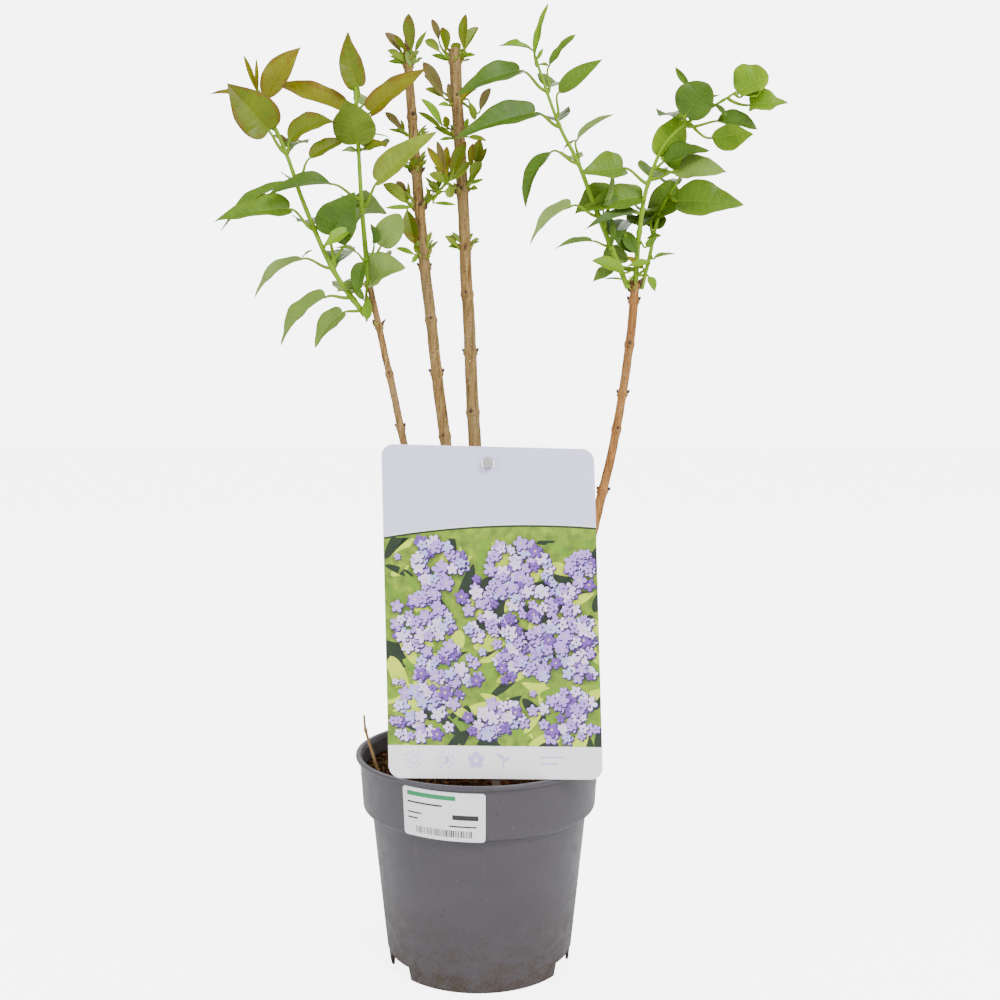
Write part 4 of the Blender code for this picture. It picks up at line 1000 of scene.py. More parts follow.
# young tufts on the two bare stems: small spoon-shaped leaves round the nodes
# each group is the node's pixel and its leaves: base, tip, width in pixels and tint
tufts = {
    "tufts_mid_left": {"on": "stem_mid_left", "stand": "tuft_mid_left", "seed": 31, "groups": [
        ((409, 62), [((412, 52), (408.6, 13.4), 9, "olive"), ((415, 52), (427, 30.6), 4.5, "light"),
                     ((401, 53), (385, 32.7), 8.6, "bronze"), ((407, 53), (394, 34.4), 5, "olive"),
                     ((404, 62), (387.4, 50), 7, "light"), ((402.5, 64), (388, 61.6), 4, "mid"),
                     ((410, 67), (412, 50), 8.6, "pale"), ((414, 63), (420, 61), 3, "light")]),
        ((413, 138), [((403, 131), (385, 112), 7, "bronze"), ((404, 133), (400.5, 119), 2.8, "olive"),
                      ((404, 133), (388, 129), 3, "mid")]),
        ((418, 169), [((417, 170), (408.6, 156), 9, "olive"), ((418, 170), (427, 162), 5, "light"),
                      ((416, 170), (401, 166), 4, "mid")]),
        ((421, 208), [((409, 204), (383, 184), 11, "light"), ((406, 199), (396.5, 181), 7, "bronze"),
                      ((408, 202), (408, 182), 3.4, "olive"), ((412, 207.5), (384.5, 208), 4, "mid"),
                      ((407, 209), (415, 244), 13, "olive")]),
        ((423, 253), [((415.5, 255), (396, 248), 4.8, "mid"), ((427.5, 243), (432, 231), 3.6, "light"),
                      ((420, 256), (414, 244), 4, "olive"), ((424, 256), (431, 257), 4, "light"),
                      ((417, 256), (412, 263), 4, "mid")])]},
    "tufts_mid_right": {"on": "stem_mid_right", "stand": "tuft_mid_right", "seed": 32, "groups": [
        ((454, 62), [((439, 41), (431.5, 19), 6, "bronze"), ((446, 52), (442, 27), 8.6, "olive"),
                     ((440, 52), (425, 40), 7, "light"), ((449, 61), (431, 55), 4.4, "mid"),
                     ((464, 50), (466, 14), 7.7, "olive"), ((464.5, 52), (478, 27), 10, "light"),
                     ((459, 54), (453, 43), 8, "olive"), ((463, 57), (476, 55), 4, "mid"),
                     ((461, 58), (468, 53), 5, "light")]),
        ((456, 100), [((444, 98), (423, 62), 10, "bronze"), ((438, 87), (424, 75), 5, "amber"),
                      ((444, 98), (425, 89), 6, "light"), ((450, 106), (438, 105), 4, "mid"),
                      ((450, 104), (448, 83), 5, "bronze"), ((460, 102), (472, 87), 7.7, "amber"),
                      ((461, 102), (477, 89), 4, "olive"), ((469, 101), (475, 120), 6, "light"),
                      ((480, 111), (491, 88), 7, "bronze")]),
        ((460, 136), [((443, 128), (421, 99), 7.7, "mid"), ((443, 130), (418, 112), 5, "light"),
                      ((447, 129), (445, 116), 6, "olive"), ((454, 138), (434, 127), 6, "light"),
                      ((454, 139), (439, 140), 3.2, "mid"), ((468, 137), (487, 141), 4.4, "light"),
                      ((466, 128), (468, 118), 4, "mid")]),
        ((463, 191), [((471, 179), (482, 162), 10, "light"), ((471, 168), (473, 143), 6, "amber"),
                      ((476, 166), (480, 139), 8.6, "olive"), ((479, 166), (487, 148), 5.2, "light"),
                      ((470, 184), (484, 179), 3.2, "mid"), ((470, 189), (478, 189), 5, "light"),
                      ((454, 187), (447, 197), 7, "light")]),
        ((466, 248), [((458, 248), (445, 236), 6, "light"), ((459, 248), (448, 241), 4, "olive"),
                      ((457, 248), (448, 247), 4, "mid")])]},
}
# a short side shoot of the middle left stem, with its own tuft
sidePlan = {"places": [(424, 206), (430, 200), (440, 190), (449, 177)], "away": (8.5, 6.0, 3.0, 0.0), "radii": (1.1, 0.6)}
sideTuft = {"seed": 33, "groups": [
    ((448, 180), [((448, 182), (470, 162), 8.6, "light"), ((451, 178), (466, 141), 10, "olive"),
                  ((447, 179), (447, 146), 6, "amber"), ((445, 176), (437, 141), 6, "bronze"),
                  ((444, 176), (427, 147), 6, "amber"), ((446, 181), (429, 174), 7.7, "light"),
                  ((449, 186), (450, 198), 7, "light")]),
    ((438, 192), [((438, 190), (428, 184), 7, "light"), ((432, 199), (426, 186), 2.6, "olive"),
                  ((434, 203), (457, 205), 3.2, "mid")])]}
youngPlan = {"pixel": 0.88, "small": 9, "round": 2.0, "smallFrom": 3.4, "smallLong": (7.5, 14), "smallWide": (3.6, 5.2),
             "tintAs": {"light": "young", "mid": "light"}}


def tuftLeaves(plan, path):
    rng = random.Random(plan["seed"])
    grown = []
    for node, seen in plan["groups"]:
        for base, tip, wide, tint in seen:
            side = (tip[0] - node[0]) / 30
            flushed = tint in ("olive", "amber")
            grown.append(leaf(node, base, tip, (rng.uniform(-3.5, -0.5), rng.uniform(-8, 1)), wide * youngPlan["pixel"],
                              youngPlan["tintAs"].get(tint, tint), "spoon" if wide > 4.5 else "lance",
                              (rng.uniform(-0.35, 0.35) - 0.3 * side, -0.9, 0.35),
                              edge=flushed, brownTip=rng.uniform(0.05, 0.16) if flushed else 0.0, wave=0.03,
                              fold=rng.uniform(16, 34), arch=rng.uniform(0.03, 0.12), sway=rng.uniform(-0.07, 0.07)))
        for i in range(youngPlan["small"]):   # small leaves at the sides and back of the node
            spot = path[nearestOn(path, *node)]
            turn = youngPlan["round"] * (2 * i / (youngPlan["small"] - 1) - 1) + rng.uniform(-0.3, 0.3)
            rise = rng.uniform(0.2, 1.0)
            out = Vector((math.sin(turn) * math.cos(rise), math.cos(turn) * math.cos(rise), math.sin(rise)))
            base, tip = spot + out * youngPlan["smallFrom"], spot + out * rng.uniform(*youngPlan["smallLong"])
            face = Vector((0, 0, 1)) - Vector((out.x, out.y, 0)) * 0.6
            grown.append(leaf(node, seenPixel(base), seenPixel(tip), (base.y - spot.y, tip.y - spot.y),
                              rng.uniform(*youngPlan["smallWide"]), ("young", "light", "olive", "young")[i % 4], "spoon",
                              tuple(face), fold=24, arch=-0.12))
    return grown


for name, plan in tufts.items():
    path = stemPaths[plan["on"]]
    growLeaves(name, path, tuftLeaves(plan, path), massesOf(plan["stand"]), "young_leaf", plan["seed"], name + "_stalks")
sideRun = catmullRom([seenAt(*spot, away) for spot, away in zip(sidePlan["places"], sidePlan["away"])], 24)
sideRadii = [sidePlan["radii"][0] + (sidePlan["radii"][1] - sidePlan["radii"][0]) * i / 24 for i in range(25)]
settle(growTubes("side_shoot", [(sideRun, sideRadii)], mats["shoot"], 10, 0.1), "green_shoot")
growLeaves("side_shoot_leaves", sideRun, tuftLeaves(sideTuft, sideRun), [], "young_leaf", sideTuft["seed"],
           "side_shoot_stalks")


# bud scales where green wood starts from brown, and at the nodes of the tufts
scalePlan = {"length": (2.4, 5.2), "width": (0.7, 1.3), "spots": [
    ("stem_left", 283, 9), ("stem_left", 324, 7), ("stem_right", 284, 14), ("stem_right", 290, 8),
    ("stem_mid_left", 64, 6), ("stem_mid_left", 171, 7), ("stem_mid_left", 208, 9), ("stem_mid_left", 255, 6),
    ("stem_mid_right", 62, 6), ("stem_mid_right", 100, 8), ("stem_mid_right", 136, 7), ("stem_mid_right", 190, 10),
    ("stem_mid_right", 247, 4)]}
rng = random.Random(41)
scales = []
for stemName, py, count in scalePlan["spots"]:
    spot = heightSeen(stemPaths[stemName], py)
    radius = between(stems[stemName]["radii"], spot.z)
    for i in range(count):
        a = rng.uniform(0, 2 * math.pi)
        outward = Vector((math.cos(a), math.sin(a), 0))
        foot = spot + outward * (radius + 0.2) + Vector((0, 0, rng.uniform(-1.5, 1.5)))
        tall = rng.uniform(*scalePlan["length"])
        scaleVerts, scaleFaces = budShape(foot, outward, Vector((0, 0, 1)), tall, rng.uniform(*scalePlan["width"]), 7, 4)
        scales.append((scaleVerts, scaleFaces, rng.choice([0, 0, 1, 1, 1])))
verts, faces, indices = join(scales)
scalesPiece = newPiece("bud_scales", verts, faces, [mats["scaleBrown"], mats["scaleGreen"]], indices)
turnOutwards(scalesPiece)
settle(scalesPiece, "green_shoot")
print("tufts, buds and scales grown")


# pot
potPlan = {
    "height": 129.0, "lip": 75.0, "lipDrop": 2.7, "rimInner": 72.2, "bandTop": 72.5, "bandLow": 70.6, "bandFoot": 96.5,
    "shoulder": 94.6, "floorRadius": 55.7, "slope": 0.1009, "wall": 1.8, "foot": 9.0, "inset": 0.6, "footThick": 2.6,
    "underside": 8.7, "floorThick": 2.0, "pad": 24.0, "padOut": 6.5, "notches": (-59.5, 67.5, 187.5), "notchArc": 27.0,
    "notchHigh": 8.0, "notchDeep": 14.0, "drain": 3.5, "drainCircle": 41.0, "drains": 6, "sides": 192,
}


def wallRadius(height):
    return potPlan["floorRadius"] + potPlan["slope"] * height


def roundedOutline(corners):
    # corners are (radius, height, rounding); each is cut back and bridged by a short arc
    outline = []
    for i, (r, z, rounding) in enumerate(corners):
        here = Vector((r, z))
        if rounding == 0 or i in (0, len(corners) - 1):
            outline.append(here)
            continue
        before = (Vector(corners[i - 1][:2]) - here)
        after = (Vector(corners[i + 1][:2]) - here)
        cutBack = min(rounding, before.length * 0.45, after.length * 0.45)
        a, b = here + before.normalized() * cutBack, here + after.normalized() * cutBack
        for k in range(5):
            t = k / 4
            outline.append(a * (1 - t) ** 2 + here * 2 * t * (1 - t) + b * t * t)
    return outline


def latheMesh(name, outline, sides, mat):
    verts, faces = [], []
    rings = []
    for point in outline:
        if point.x < 1e-6:
            rings.append([len(verts)])
            verts.append(Vector((0, 0, point.y)))
        else:
            rings.append(list(range(len(verts), len(verts) + sides)))
            for k in range(sides):
                a = 2 * math.pi * k / sides
                verts.append(Vector((point.x * math.cos(a), point.x * math.sin(a), point.y)))
    for low, high in zip(rings, rings[1:]):
        for k in range(sides):
            n = (k + 1) % sides
            if len(low) == 1:
                faces.append((low[0], high[n], high[k]))
            elif len(high) == 1:
                faces.append((low[k], low[n], high[0]))
            else:
                faces.append((low[k], low[n], high[n], high[k]))
    piece = newPiece(name, verts, faces, [mat])
    turnOutwards(piece)
    return piece


def potCorners():
    p = potPlan
    top = p["underside"] + p["floorThick"]
    footRadius = wallRadius(p["foot"]) - p["inset"]
    shoulderWall = wallRadius(p["shoulder"])
    return [
        (0, p["floorThick"], 0), (p["pad"] - 1, p["floorThick"], 1.0), (p["pad"] + p["padOut"] - 1, top, 1.0),
        (wallRadius(top) - p["wall"], top, 1.8), (wallRadius(p["shoulder"] - 1.6) - p["wall"], p["shoulder"] - 1.6, 1.0),
        (shoulderWall - 0.3, p["shoulder"] + 1.4, 0.6), (p["bandLow"] - p["wall"] + 0.2, p["bandFoot"] + 1.4, 0.8),
        (p["bandTop"] - p["wall"], p["height"] - p["lipDrop"], 0.4), (p["rimInner"], p["height"], 0.7),
        (p["lip"] - 0.2, p["height"], 0.95), (p["lip"], p["height"] - 1.6, 0.5), (p["lip"] - 0.5, p["height"] - 2.5, 0.3),
        (p["bandTop"], p["height"] - p["lipDrop"] - 0.2, 0.35), (p["bandLow"], p["bandFoot"], 1.9),
        (shoulderWall + 0.9, p["shoulder"], 0.7), (shoulderWall, p["shoulder"] - 1.2, 0.6),
        (wallRadius(p["foot"]), p["foot"] + 0.3, 0.25), (footRadius, p["foot"] - 0.2, 0.15), (footRadius - 0.9, 0.0, 0.9),
        (footRadius - p["footThick"], 0.0, 0.5), (footRadius - p["footThick"], p["underside"], 0.8),
        (p["pad"] + p["padOut"], p["underside"], 0.9), (p["pad"], 0.0, 0.9), (0, 0, 0),
    ]


def makePot():
    pot = latheMesh("pot_body", roundedOutline(potCorners()), potPlan["sides"], mats["pot"])
    footMiddle = wallRadius(0) - potPlan["footThick"] / 2
    half = footMiddle * math.sin(math.radians(potPlan["notchArc"] / 2))
    bm = bmesh.new()
    for azimuth in potPlan["notches"]:
        made = bmesh.ops.create_cube(bm, size=1.0)["verts"]
        for vert in made:
            high = vert.co.z > 0
            vert.co.x *= 2 * half * (0.90 if high else 1.08)   # the ends of a notch slope
            vert.co.y *= potPlan["notchDeep"]
            vert.co.z = potPlan["notchHigh"] if high else -potPlan["notchHigh"]
        bmesh.ops.translate(bm, vec=(0, -footMiddle, 0), verts=made)
        bmesh.ops.rotate(bm, matrix=Matrix.Rotation(math.radians(azimuth), 3, "Z"), verts=made)
    for i in range(potPlan["drains"]):
        a = 2 * math.pi * (i + 0.5) / potPlan["drains"]
        made = bmesh.ops.create_cone(bm, cap_ends=True, segments=32, radius1=potPlan["drain"], radius2=potPlan["drain"],
                                     depth=8.0)["verts"]
        middle = potPlan["underside"] + potPlan["floorThick"] / 2
        bmesh.ops.translate(bm, vec=(potPlan["drainCircle"] * math.cos(a), potPlan["drainCircle"] * math.sin(a), middle),
                            verts=made)
    bmesh.ops.scale(bm, vec=(mm, mm, mm), verts=bm.verts)
    mesh = bpy.data.meshes.new("pot_cuts")
    bm.to_mesh(mesh)
    bm.free()
    cutter = bpy.data.objects.new("pot_cuts", mesh)
    bpy.context.scene.collection.objects.link(cutter)
    mod = pot.modifiers.new("cuts", "BOOLEAN")
    mod.operation = "DIFFERENCE"
    mod.solver = "EXACT"
    mod.object = cutter
    applied(pot)
    bpy.data.objects.remove(cutter, do_unlink=True)
    pot.data.shade_smooth()
    pot.data.set_sharp_from_angle(angle=math.radians(38))
    pot.data.materials.append(mats["potInside"])
    for face in pot.data.polygons:   # the inner wall is dirtier and darker: dried mix and painted shade
        inward = face.normal.x * face.center.x + face.normal.y * face.center.y < 0
        if inward and potPlan["bandFoot"] * mm < face.center.z < (potPlan["height"] - 1.0) * mm:
            face.material_index = 1
    return settle(pot, "pot_plastic", "pot")


makePot()
print("pot made")


# potting mix: a rough bed, strewn with crumbs, bark chips and coir fibres
mixPlan = {"edge": 118.4, "middle": 120.2, "gap": 0.3, "rough": 1.3, "rings": 70, "sides": 150, "under": 112.0}


def mixHeight(r):
    return mixPlan["middle"] + (mixPlan["edge"] - mixPlan["middle"]) * (r / 70.0) ** 2


def mixEdge():
    return potPlan["bandLow"] - potPlan["wall"] + 0.2 - mixPlan["gap"] + 0.05 * (mixPlan["edge"] - potPlan["bandFoot"])


def makeBed():
    edge = mixEdge()
    verts, faces = [Vector((0, 0, mixHeight(0)))], []
    sides = mixPlan["sides"]
    for i in range(1, mixPlan["rings"] + 1):
        r = edge * i / mixPlan["rings"]
        for k in range(sides):
            a = 2 * math.pi * k / sides
            spot = Vector((r * math.cos(a), r * math.sin(a), 0))
            lift = noise.noise(spot * 0.11) * 0.9 + noise.noise(spot * 0.45) * 0.7 + noise.noise(spot * 1.3) * 0.35
            fade = min(1.0, (edge - r) / 2.5 + 0.25)
            verts.append(Vector((spot.x, spot.y, mixHeight(r) + lift * mixPlan["rough"] * fade)))
    for k in range(sides):
        faces.append((0, 1 + k, 1 + (k + 1) % sides))
    for i in range(mixPlan["rings"] - 1):
        for k in range(sides):
            n = (k + 1) % sides
            a, b = 1 + i * sides, 1 + (i + 1) * sides
            faces.append((a + k, b + k, b + n, a + n))
    last = 1 + (mixPlan["rings"] - 1) * sides
    under = len(verts)
    floorTop = potPlan["underside"] + potPlan["floorThick"] + mixPlan["gap"]
    for r, z in ((edge - 1.2, potPlan["bandFoot"] + 2.0), (wallRadius(90) - potPlan["wall"] - mixPlan["gap"], 92.0),
                 (wallRadius(12) - potPlan["wall"] - mixPlan["gap"], floorTop + 1.3)):
        for k in range(sides):
            a = 2 * math.pi * k / sides
            verts.append(Vector((r * math.cos(a), r * math.sin(a), z)))
    for i, start in enumerate((last, under, under + sides)):
        low = under + i * sides
        for k in range(sides):
            n = (k + 1) % sides
            faces.append((start + k, low + k, low + n, start + n))
    faces.append(tuple(under + 2 * sides + k for k in reversed(range(sides))))
    piece = newPiece("potting_mix_bed", verts, faces, [mats["mix"]])
    turnOutwards(piece)
    return settle(piece, "potting_mix", "potting_mix")


def strewTree():
    # scatters copies of one small shape over a surface, turned and sized by chance
    tree = bpy.data.node_groups.new("strewn_bits", "GeometryNodeTree")
    face = tree.interface
    face.new_socket("Geometry", in_out="INPUT", socket_type="NodeSocketGeometry")
    face.new_socket("Bit", in_out="INPUT", socket_type="NodeSocketObject")
    for label in ("Density", "Smallest", "Largest", "Tilt"):
        face.new_socket(label, in_out="INPUT", socket_type="NodeSocketFloat")
    face.new_socket("Seed", in_out="INPUT", socket_type="NodeSocketInt")
    face.new_socket("Finish", in_out="INPUT", socket_type="NodeSocketMaterial")
    face.new_socket("Geometry", in_out="OUTPUT", socket_type="NodeSocketGeometry")
    start, end = tree.nodes.new("NodeGroupInput"), tree.nodes.new("NodeGroupOutput")
    link = tree.links.new
    points = tree.nodes.new("GeometryNodeDistributePointsOnFaces")
    link(start.outputs["Geometry"], points.inputs["Mesh"])
    link(start.outputs["Density"], points.inputs["Density"])
    link(start.outputs["Seed"], points.inputs["Seed"])
    bit = tree.nodes.new("GeometryNodeObjectInfo")
    link(start.outputs["Bit"], bit.inputs["Object"])
    copies = tree.nodes.new("GeometryNodeInstanceOnPoints")
    link(points.outputs["Points"], copies.inputs["Points"])
    link(bit.outputs["Geometry"], copies.inputs["Instance"])
    size = tree.nodes.new("FunctionNodeRandomValue")
    link(start.outputs["Smallest"], size.inputs[2])
    link(start.outputs["Largest"], size.inputs[3])
    link(start.outputs["Seed"], size.inputs["Seed"])
    link(size.outputs[1], copies.inputs["Scale"])
    turn = tree.nodes.new("FunctionNodeRandomValue")
    turn.data_type = "FLOAT_VECTOR"
    low = tree.nodes.new("ShaderNodeCombineXYZ")
    high = tree.nodes.new("ShaderNodeCombineXYZ")
    negative = tree.nodes.new("ShaderNodeMath")
    negative.operation = "MULTIPLY"
    negative.inputs[1].default_value = -1.0
    link(start.outputs["Tilt"], negative.inputs[0])
    for axis in (0, 1):
        link(negative.outputs[0], low.inputs[axis])
        link(start.outputs["Tilt"], high.inputs[axis])
    high.inputs[2].default_value = 6.283
    link(low.outputs[0], turn.inputs[0])
    link(high.outputs[0], turn.inputs[1])
    link(start.outputs["Seed"], turn.inputs["Seed"])
    link(turn.outputs[0], copies.inputs["Rotation"])
    realize = tree.nodes.new("GeometryNodeRealizeInstances")
    link(copies.outputs["Instances"], realize.inputs["Geometry"])
    finish = tree.nodes.new("GeometryNodeSetMaterial")
    link(realize.outputs["Geometry"], finish.inputs["Geometry"])
    link(start.outputs["Finish"], finish.inputs["Material"])
    link(finish.outputs["Geometry"], end.inputs["Geometry"])
    return tree


strewNodes = strewTree()


def strewGround(name):
    # the round patch of bed that the bits lie on
    verts, faces = [Vector((0, 0, mixHeight(0) + 0.2))], []
    sides, rings, edge = 72, 20, mixEdge() - 2.6
    for i in range(1, rings + 1):
        for k in range(sides):
            a, r = 2 * math.pi * k / sides, edge * i / rings
            spot = Vector((r * math.cos(a), r * math.sin(a), 0))
            lift = noise.noise(spot * 0.11) * 0.9 + noise.noise(spot * 0.45) * 0.7
            verts.append(Vector((spot.x, spot.y, mixHeight(r) + 0.25 + lift * mixPlan["rough"] * 0.8)))
    for k in range(sides):
        faces.append((0, 1 + k, 1 + (k + 1) % sides))
    for i in range(rings - 1):
        for k in range(sides):
            n, a, b = (k + 1) % sides, 1 + i * sides, 1 + (i + 1) * sides
            faces.append((a + k, b + k, b + n, a + n))
    return newPiece(name, verts, faces, [])


def crumbShape():
    bm = bmesh.new()
    bmesh.ops.create_icosphere(bm, subdivisions=1, radius=1.0)
    for vert in bm.verts:
        vert.co *= 0.8 + 0.45 * noise.noise(vert.co * 1.7 + Vector((5, 2, 1)))
        vert.co.z *= 0.7
    return bm


def chipShape():
    bm = bmesh.new()
    bmesh.ops.create_cube(bm, size=2.0)
    bmesh.ops.subdivide_edges(bm, edges=bm.edges, cuts=1, use_grid_fill=True)
    for vert in bm.verts:
        ray = vert.co.copy()
        vert.co = Vector((ray.x * 1.55, ray.y * 0.75, ray.z * 0.26)) * (1 + 0.3 * noise.noise(ray * 1.3))
        vert.co.z += 0.12 * ray.x ** 2
    return bm


def fibreShape():
    bm = bmesh.new()
    rings, sides, previous = 7, 4, None
    for i in range(rings):
        t = i / (rings - 1) * 2 - 1
        middle = Vector((t * 5.0, 0.9 * math.sin(t * 2.4), 0.55 * math.cos(t * 1.9)))
        thin = 0.16 * (1.1 - abs(t) * 0.7)
        ring = [bm.verts.new(middle + Vector((0, math.cos(a), math.sin(a))) * thin)
                for a in (math.pi / 2 * k for k in range(sides))]
        if previous:
            for k in range(sides):
                bm.faces.new((previous[k], previous[(k + 1) % sides], ring[(k + 1) % sides], ring[k]))
        else:
            bm.faces.new(list(reversed(ring)))
        previous = ring
    bm.faces.new(previous)
    return bm


def strew(name, shape, finish, density, sizes, tilt, seed):
    bm = shape()
    bmesh.ops.recalc_face_normals(bm, faces=bm.faces)
    mesh = bpy.data.meshes.new(name + "_bit")
    bm.to_mesh(mesh)
    bm.free()
    bit = bpy.data.objects.new(name + "_bit", mesh)
    bpy.context.scene.collection.objects.link(bit)
    piece = strewGround(name)
    mod = piece.modifiers.new("strewn", "NODES")
    mod.node_group = strewNodes
    mod[socketId(strewNodes, "Bit")] = bit
    for label, value in (("Density", density), ("Smallest", sizes[0] * mm), ("Largest", sizes[1] * mm), ("Tilt", tilt),
                         ("Seed", seed), ("Finish", finish)):
        mod[socketId(strewNodes, label)] = value
    applied(piece)
    bpy.data.objects.remove(bit, do_unlink=True)
    return settle(piece, "potting_mix")


makeBed()
strew("mix_crumbs", crumbShape, mats["crumb"], 210000.0, (0.35, 1.25), 3.0, 51)
strew("mix_bark_chips", chipShape, mats["chip"], 12000.0, (0.6, 2.3), 0.6, 52)
strew("mix_fibres", fibreShape, mats["fibre"], 30000.0, (0.6, 1.8), 0.7, 53)
print("potting mix made")


# label card, with its print laid on it as thin closed shapes, and the stick behind it
cardPlan = {
    "wide": 121.0, "tall": 188.0, "thick": 0.8, "corner": 7.0, "foot": (8.0, -61.0, 129.6), "leanBack": 7.0, "holeUp": 178.5,
    "hole": 3.45, "peg": 3.2, "pegOut": 5.0, "stickWide": 5.0, "stickThick": 2.0, "stickClear": 0.5,
    "headerEdge": (143.8, 3.95, -3.75), "lineWide": 0.9, "pictureFoot": 18.5, "layer": 0.07,
    "leanSide": 0.0255, "dropLow": 0.0084, "dropMore": 0.0169, "iconUp": 10.5,
}
cardPlace = Matrix.Translation(Vector(cardPlan["foot"])) @ Matrix.Rotation(math.radians(-cardPlan["leanBack"]), 4, "X")


def askew(x, up):
    # the card is a little out of square to the viewer: its top leans left and its right side hangs lower
    drop = cardPlan["dropLow"] + cardPlan["dropMore"] * up / cardPlan["tall"]
    return x - cardPlan["leanSide"] * (up - cardPlan["tall"] / 2), up - drop * x


def onCard(x, up, out=0.0):
    # a point on the front of the card: x to the right, up from its foot, out towards the viewer
    x, up = askew(x, up)
    return cardPlace @ Vector((x, -cardPlan["thick"] / 2 - out, up))


def placeOnCard(bm):
    # upright shapes drawn in the card's own measure are put askew with it
    for vert in bm.verts:
        vert.co.x, vert.co.z = askew(vert.co.x, vert.co.z)
    bmesh.ops.transform(bm, matrix=Matrix.Scale(mm, 4) @ cardPlace, verts=bm.verts)


def headerEdge(t):
    # height of the header's lower edge, for t from -1 at the left side of the card to 1 at the right
    level, rise, bend = cardPlan["headerEdge"]
    return level + rise * t + bend * t * t


def slab(outline, out, thick):
    # verts and faces of a flat closed shape that lies on the card; outline runs anticlockwise
    front = [onCard(x, up, out + thick) for x, up in outline]
    back = [onCard(x, up, out) for x, up in outline]
    count = len(outline)
    faces = [tuple(range(count)), tuple(reversed(range(count, 2 * count)))]
    faces += [(k, count + k, count + (k + 1) % count, (k + 1) % count) for k in range(count)]
    return front + back, faces


def roundedBox(left, low, right, high, corner, steps=8):
    outline = []
    for cx, cy, start in ((right - corner, high - corner, 0), (left + corner, high - corner, 90),
                          (left + corner, low + corner, 180), (right - corner, low + corner, 270)):
        for i in range(steps + 1):
            a = math.radians(start + 90 * i / steps)
            outline.append((cx + corner * math.cos(a), cy + corner * math.sin(a)))
    return outline


def disc(x, y, r, steps=28):
    return [(x + r * math.cos(2 * math.pi * k / steps), y + r * math.sin(2 * math.pi * k / steps)) for k in range(steps)]


def printed(name, shapes, materials):
    # shapes is a list of (outline, out, thick, material number)
    parts = [(*slab(outline, out, thick), index) for outline, out, thick, index in shapes]
    verts, faces, indices = join(parts)
    piece = newPiece(name, verts, faces, materials, indices, smooth=False)
    turnOutwards(piece)
    return piece


def punch(piece, radius):
    bm = bmesh.new()
    bmesh.ops.create_cone(bm, cap_ends=True, segments=48, radius1=radius, radius2=radius, depth=9.0)
    bmesh.ops.rotate(bm, matrix=Matrix.Rotation(math.radians(90), 3, "X"), verts=bm.verts)
    bmesh.ops.translate(bm, vec=(0, 0, cardPlan["holeUp"]), verts=bm.verts)
    placeOnCard(bm)
    mesh = bpy.data.meshes.new("punch")
    bm.to_mesh(mesh)
    bm.free()
    cutter = bpy.data.objects.new("punch", mesh)
    bpy.context.scene.collection.objects.link(cutter)
    mod = piece.modifiers.new("punch", "BOOLEAN")
    mod.operation = "DIFFERENCE"
    mod.solver = "EXACT"
    mod.object = cutter
    applied(piece)
    bpy.data.objects.remove(cutter, do_unlink=True)


half = cardPlan["wide"] / 2
board = slab(roundedBox(-half, 0, half, cardPlan["tall"], cardPlan["corner"], 14), -cardPlan["thick"], cardPlan["thick"])
cardBoard = newPiece("card_board", *board, [mats["card"]], smooth=False)
turnOutwards(cardBoard)
punch(cardBoard, cardPlan["hole"])
settle(cardBoard, "card", "label_card")


def headerOutline():
    outline = roundedBox(-half, 100, half, cardPlan["tall"], cardPlan["corner"], 14)
    upper = [p for p in outline if p[1] > 150]
    return upper + [(half * t, headerEdge(t)) for t in (i / 16 - 1 for i in range(33))]


header = printed("card_header", [(headerOutline(), 0.0, cardPlan["layer"], 0)], [mats["header"]])
punch(header, cardPlan["hole"] + 0.15)
settle(header, "card")


# the picture panel: a made-up spray of five-petalled flowers over leaves, laid out by rule
pictureTints = {
    "ground": ((0.290, 0.440, 0.022), (0.110, 0.200, 0.016)), "lime": ((0.66, 0.80, 0.050), (0.52, 0.70, 0.030)),
    "grass": ((0.20, 0.37, 0.014), (0.120, 0.260, 0.012)), "shade": ((0.018, 0.038, 0.012), (0.010, 0.024, 0.009)),
    "violet": ((0.215, 0.090, 0.48), (0.160, 0.060, 0.38)), "lilac": ((0.53, 0.35, 0.86), (0.43, 0.26, 0.78)),
    "palelilac": ((0.80, 0.69, 0.97), (0.70, 0.58, 0.95)), "blue": ((0.50, 0.51, 0.93), (0.42, 0.42, 0.88)),
    "plum": ((0.060, 0.022, 0.135), (0.040, 0.015, 0.10)), "heart": ((0.74, 0.64, 0.26), (0.66, 0.54, 0.20)),
}
for key, (colour, darker) in pictureTints.items():
    mats["print_" + key] = mottled("print_" + key, colour, darker, 0.3, 180.0, 0.00002, (1, 1, 1), 0.08)
pictureKeys = list(pictureTints)


def petals(x, y, size, turn, count=5):
    # one flower outline with rounded petals
    outline = []
    for k in range(30):
        a = 2 * math.pi * k / 30
        r = size * (0.42 + 0.58 * abs(math.cos(count * (a - turn) / 2)) ** 0.7)
        outline.append((x + r * math.cos(a), y + r * math.sin(a)))
    return outline


def pictureLeaf(x, y, length, wide, turn):
    outline = []
    for k in range(24):
        t = k / 23
        w = wide * (t ** 0.6) * ((1 - t) ** 0.9) * 1.55
        outline.append((t * length, w))
    outline += [(px, -w) for px, w in reversed(outline[1:-1])]
    c, s = math.cos(turn), math.sin(turn)
    return [(x + px * c - py * s, y + px * s + py * c) for px, py in reversed(outline)]


def insidePanel(outline, left, low, right, high):
    return [(min(max(px, left), right), min(max(py, low), high)) for px, py in outline]


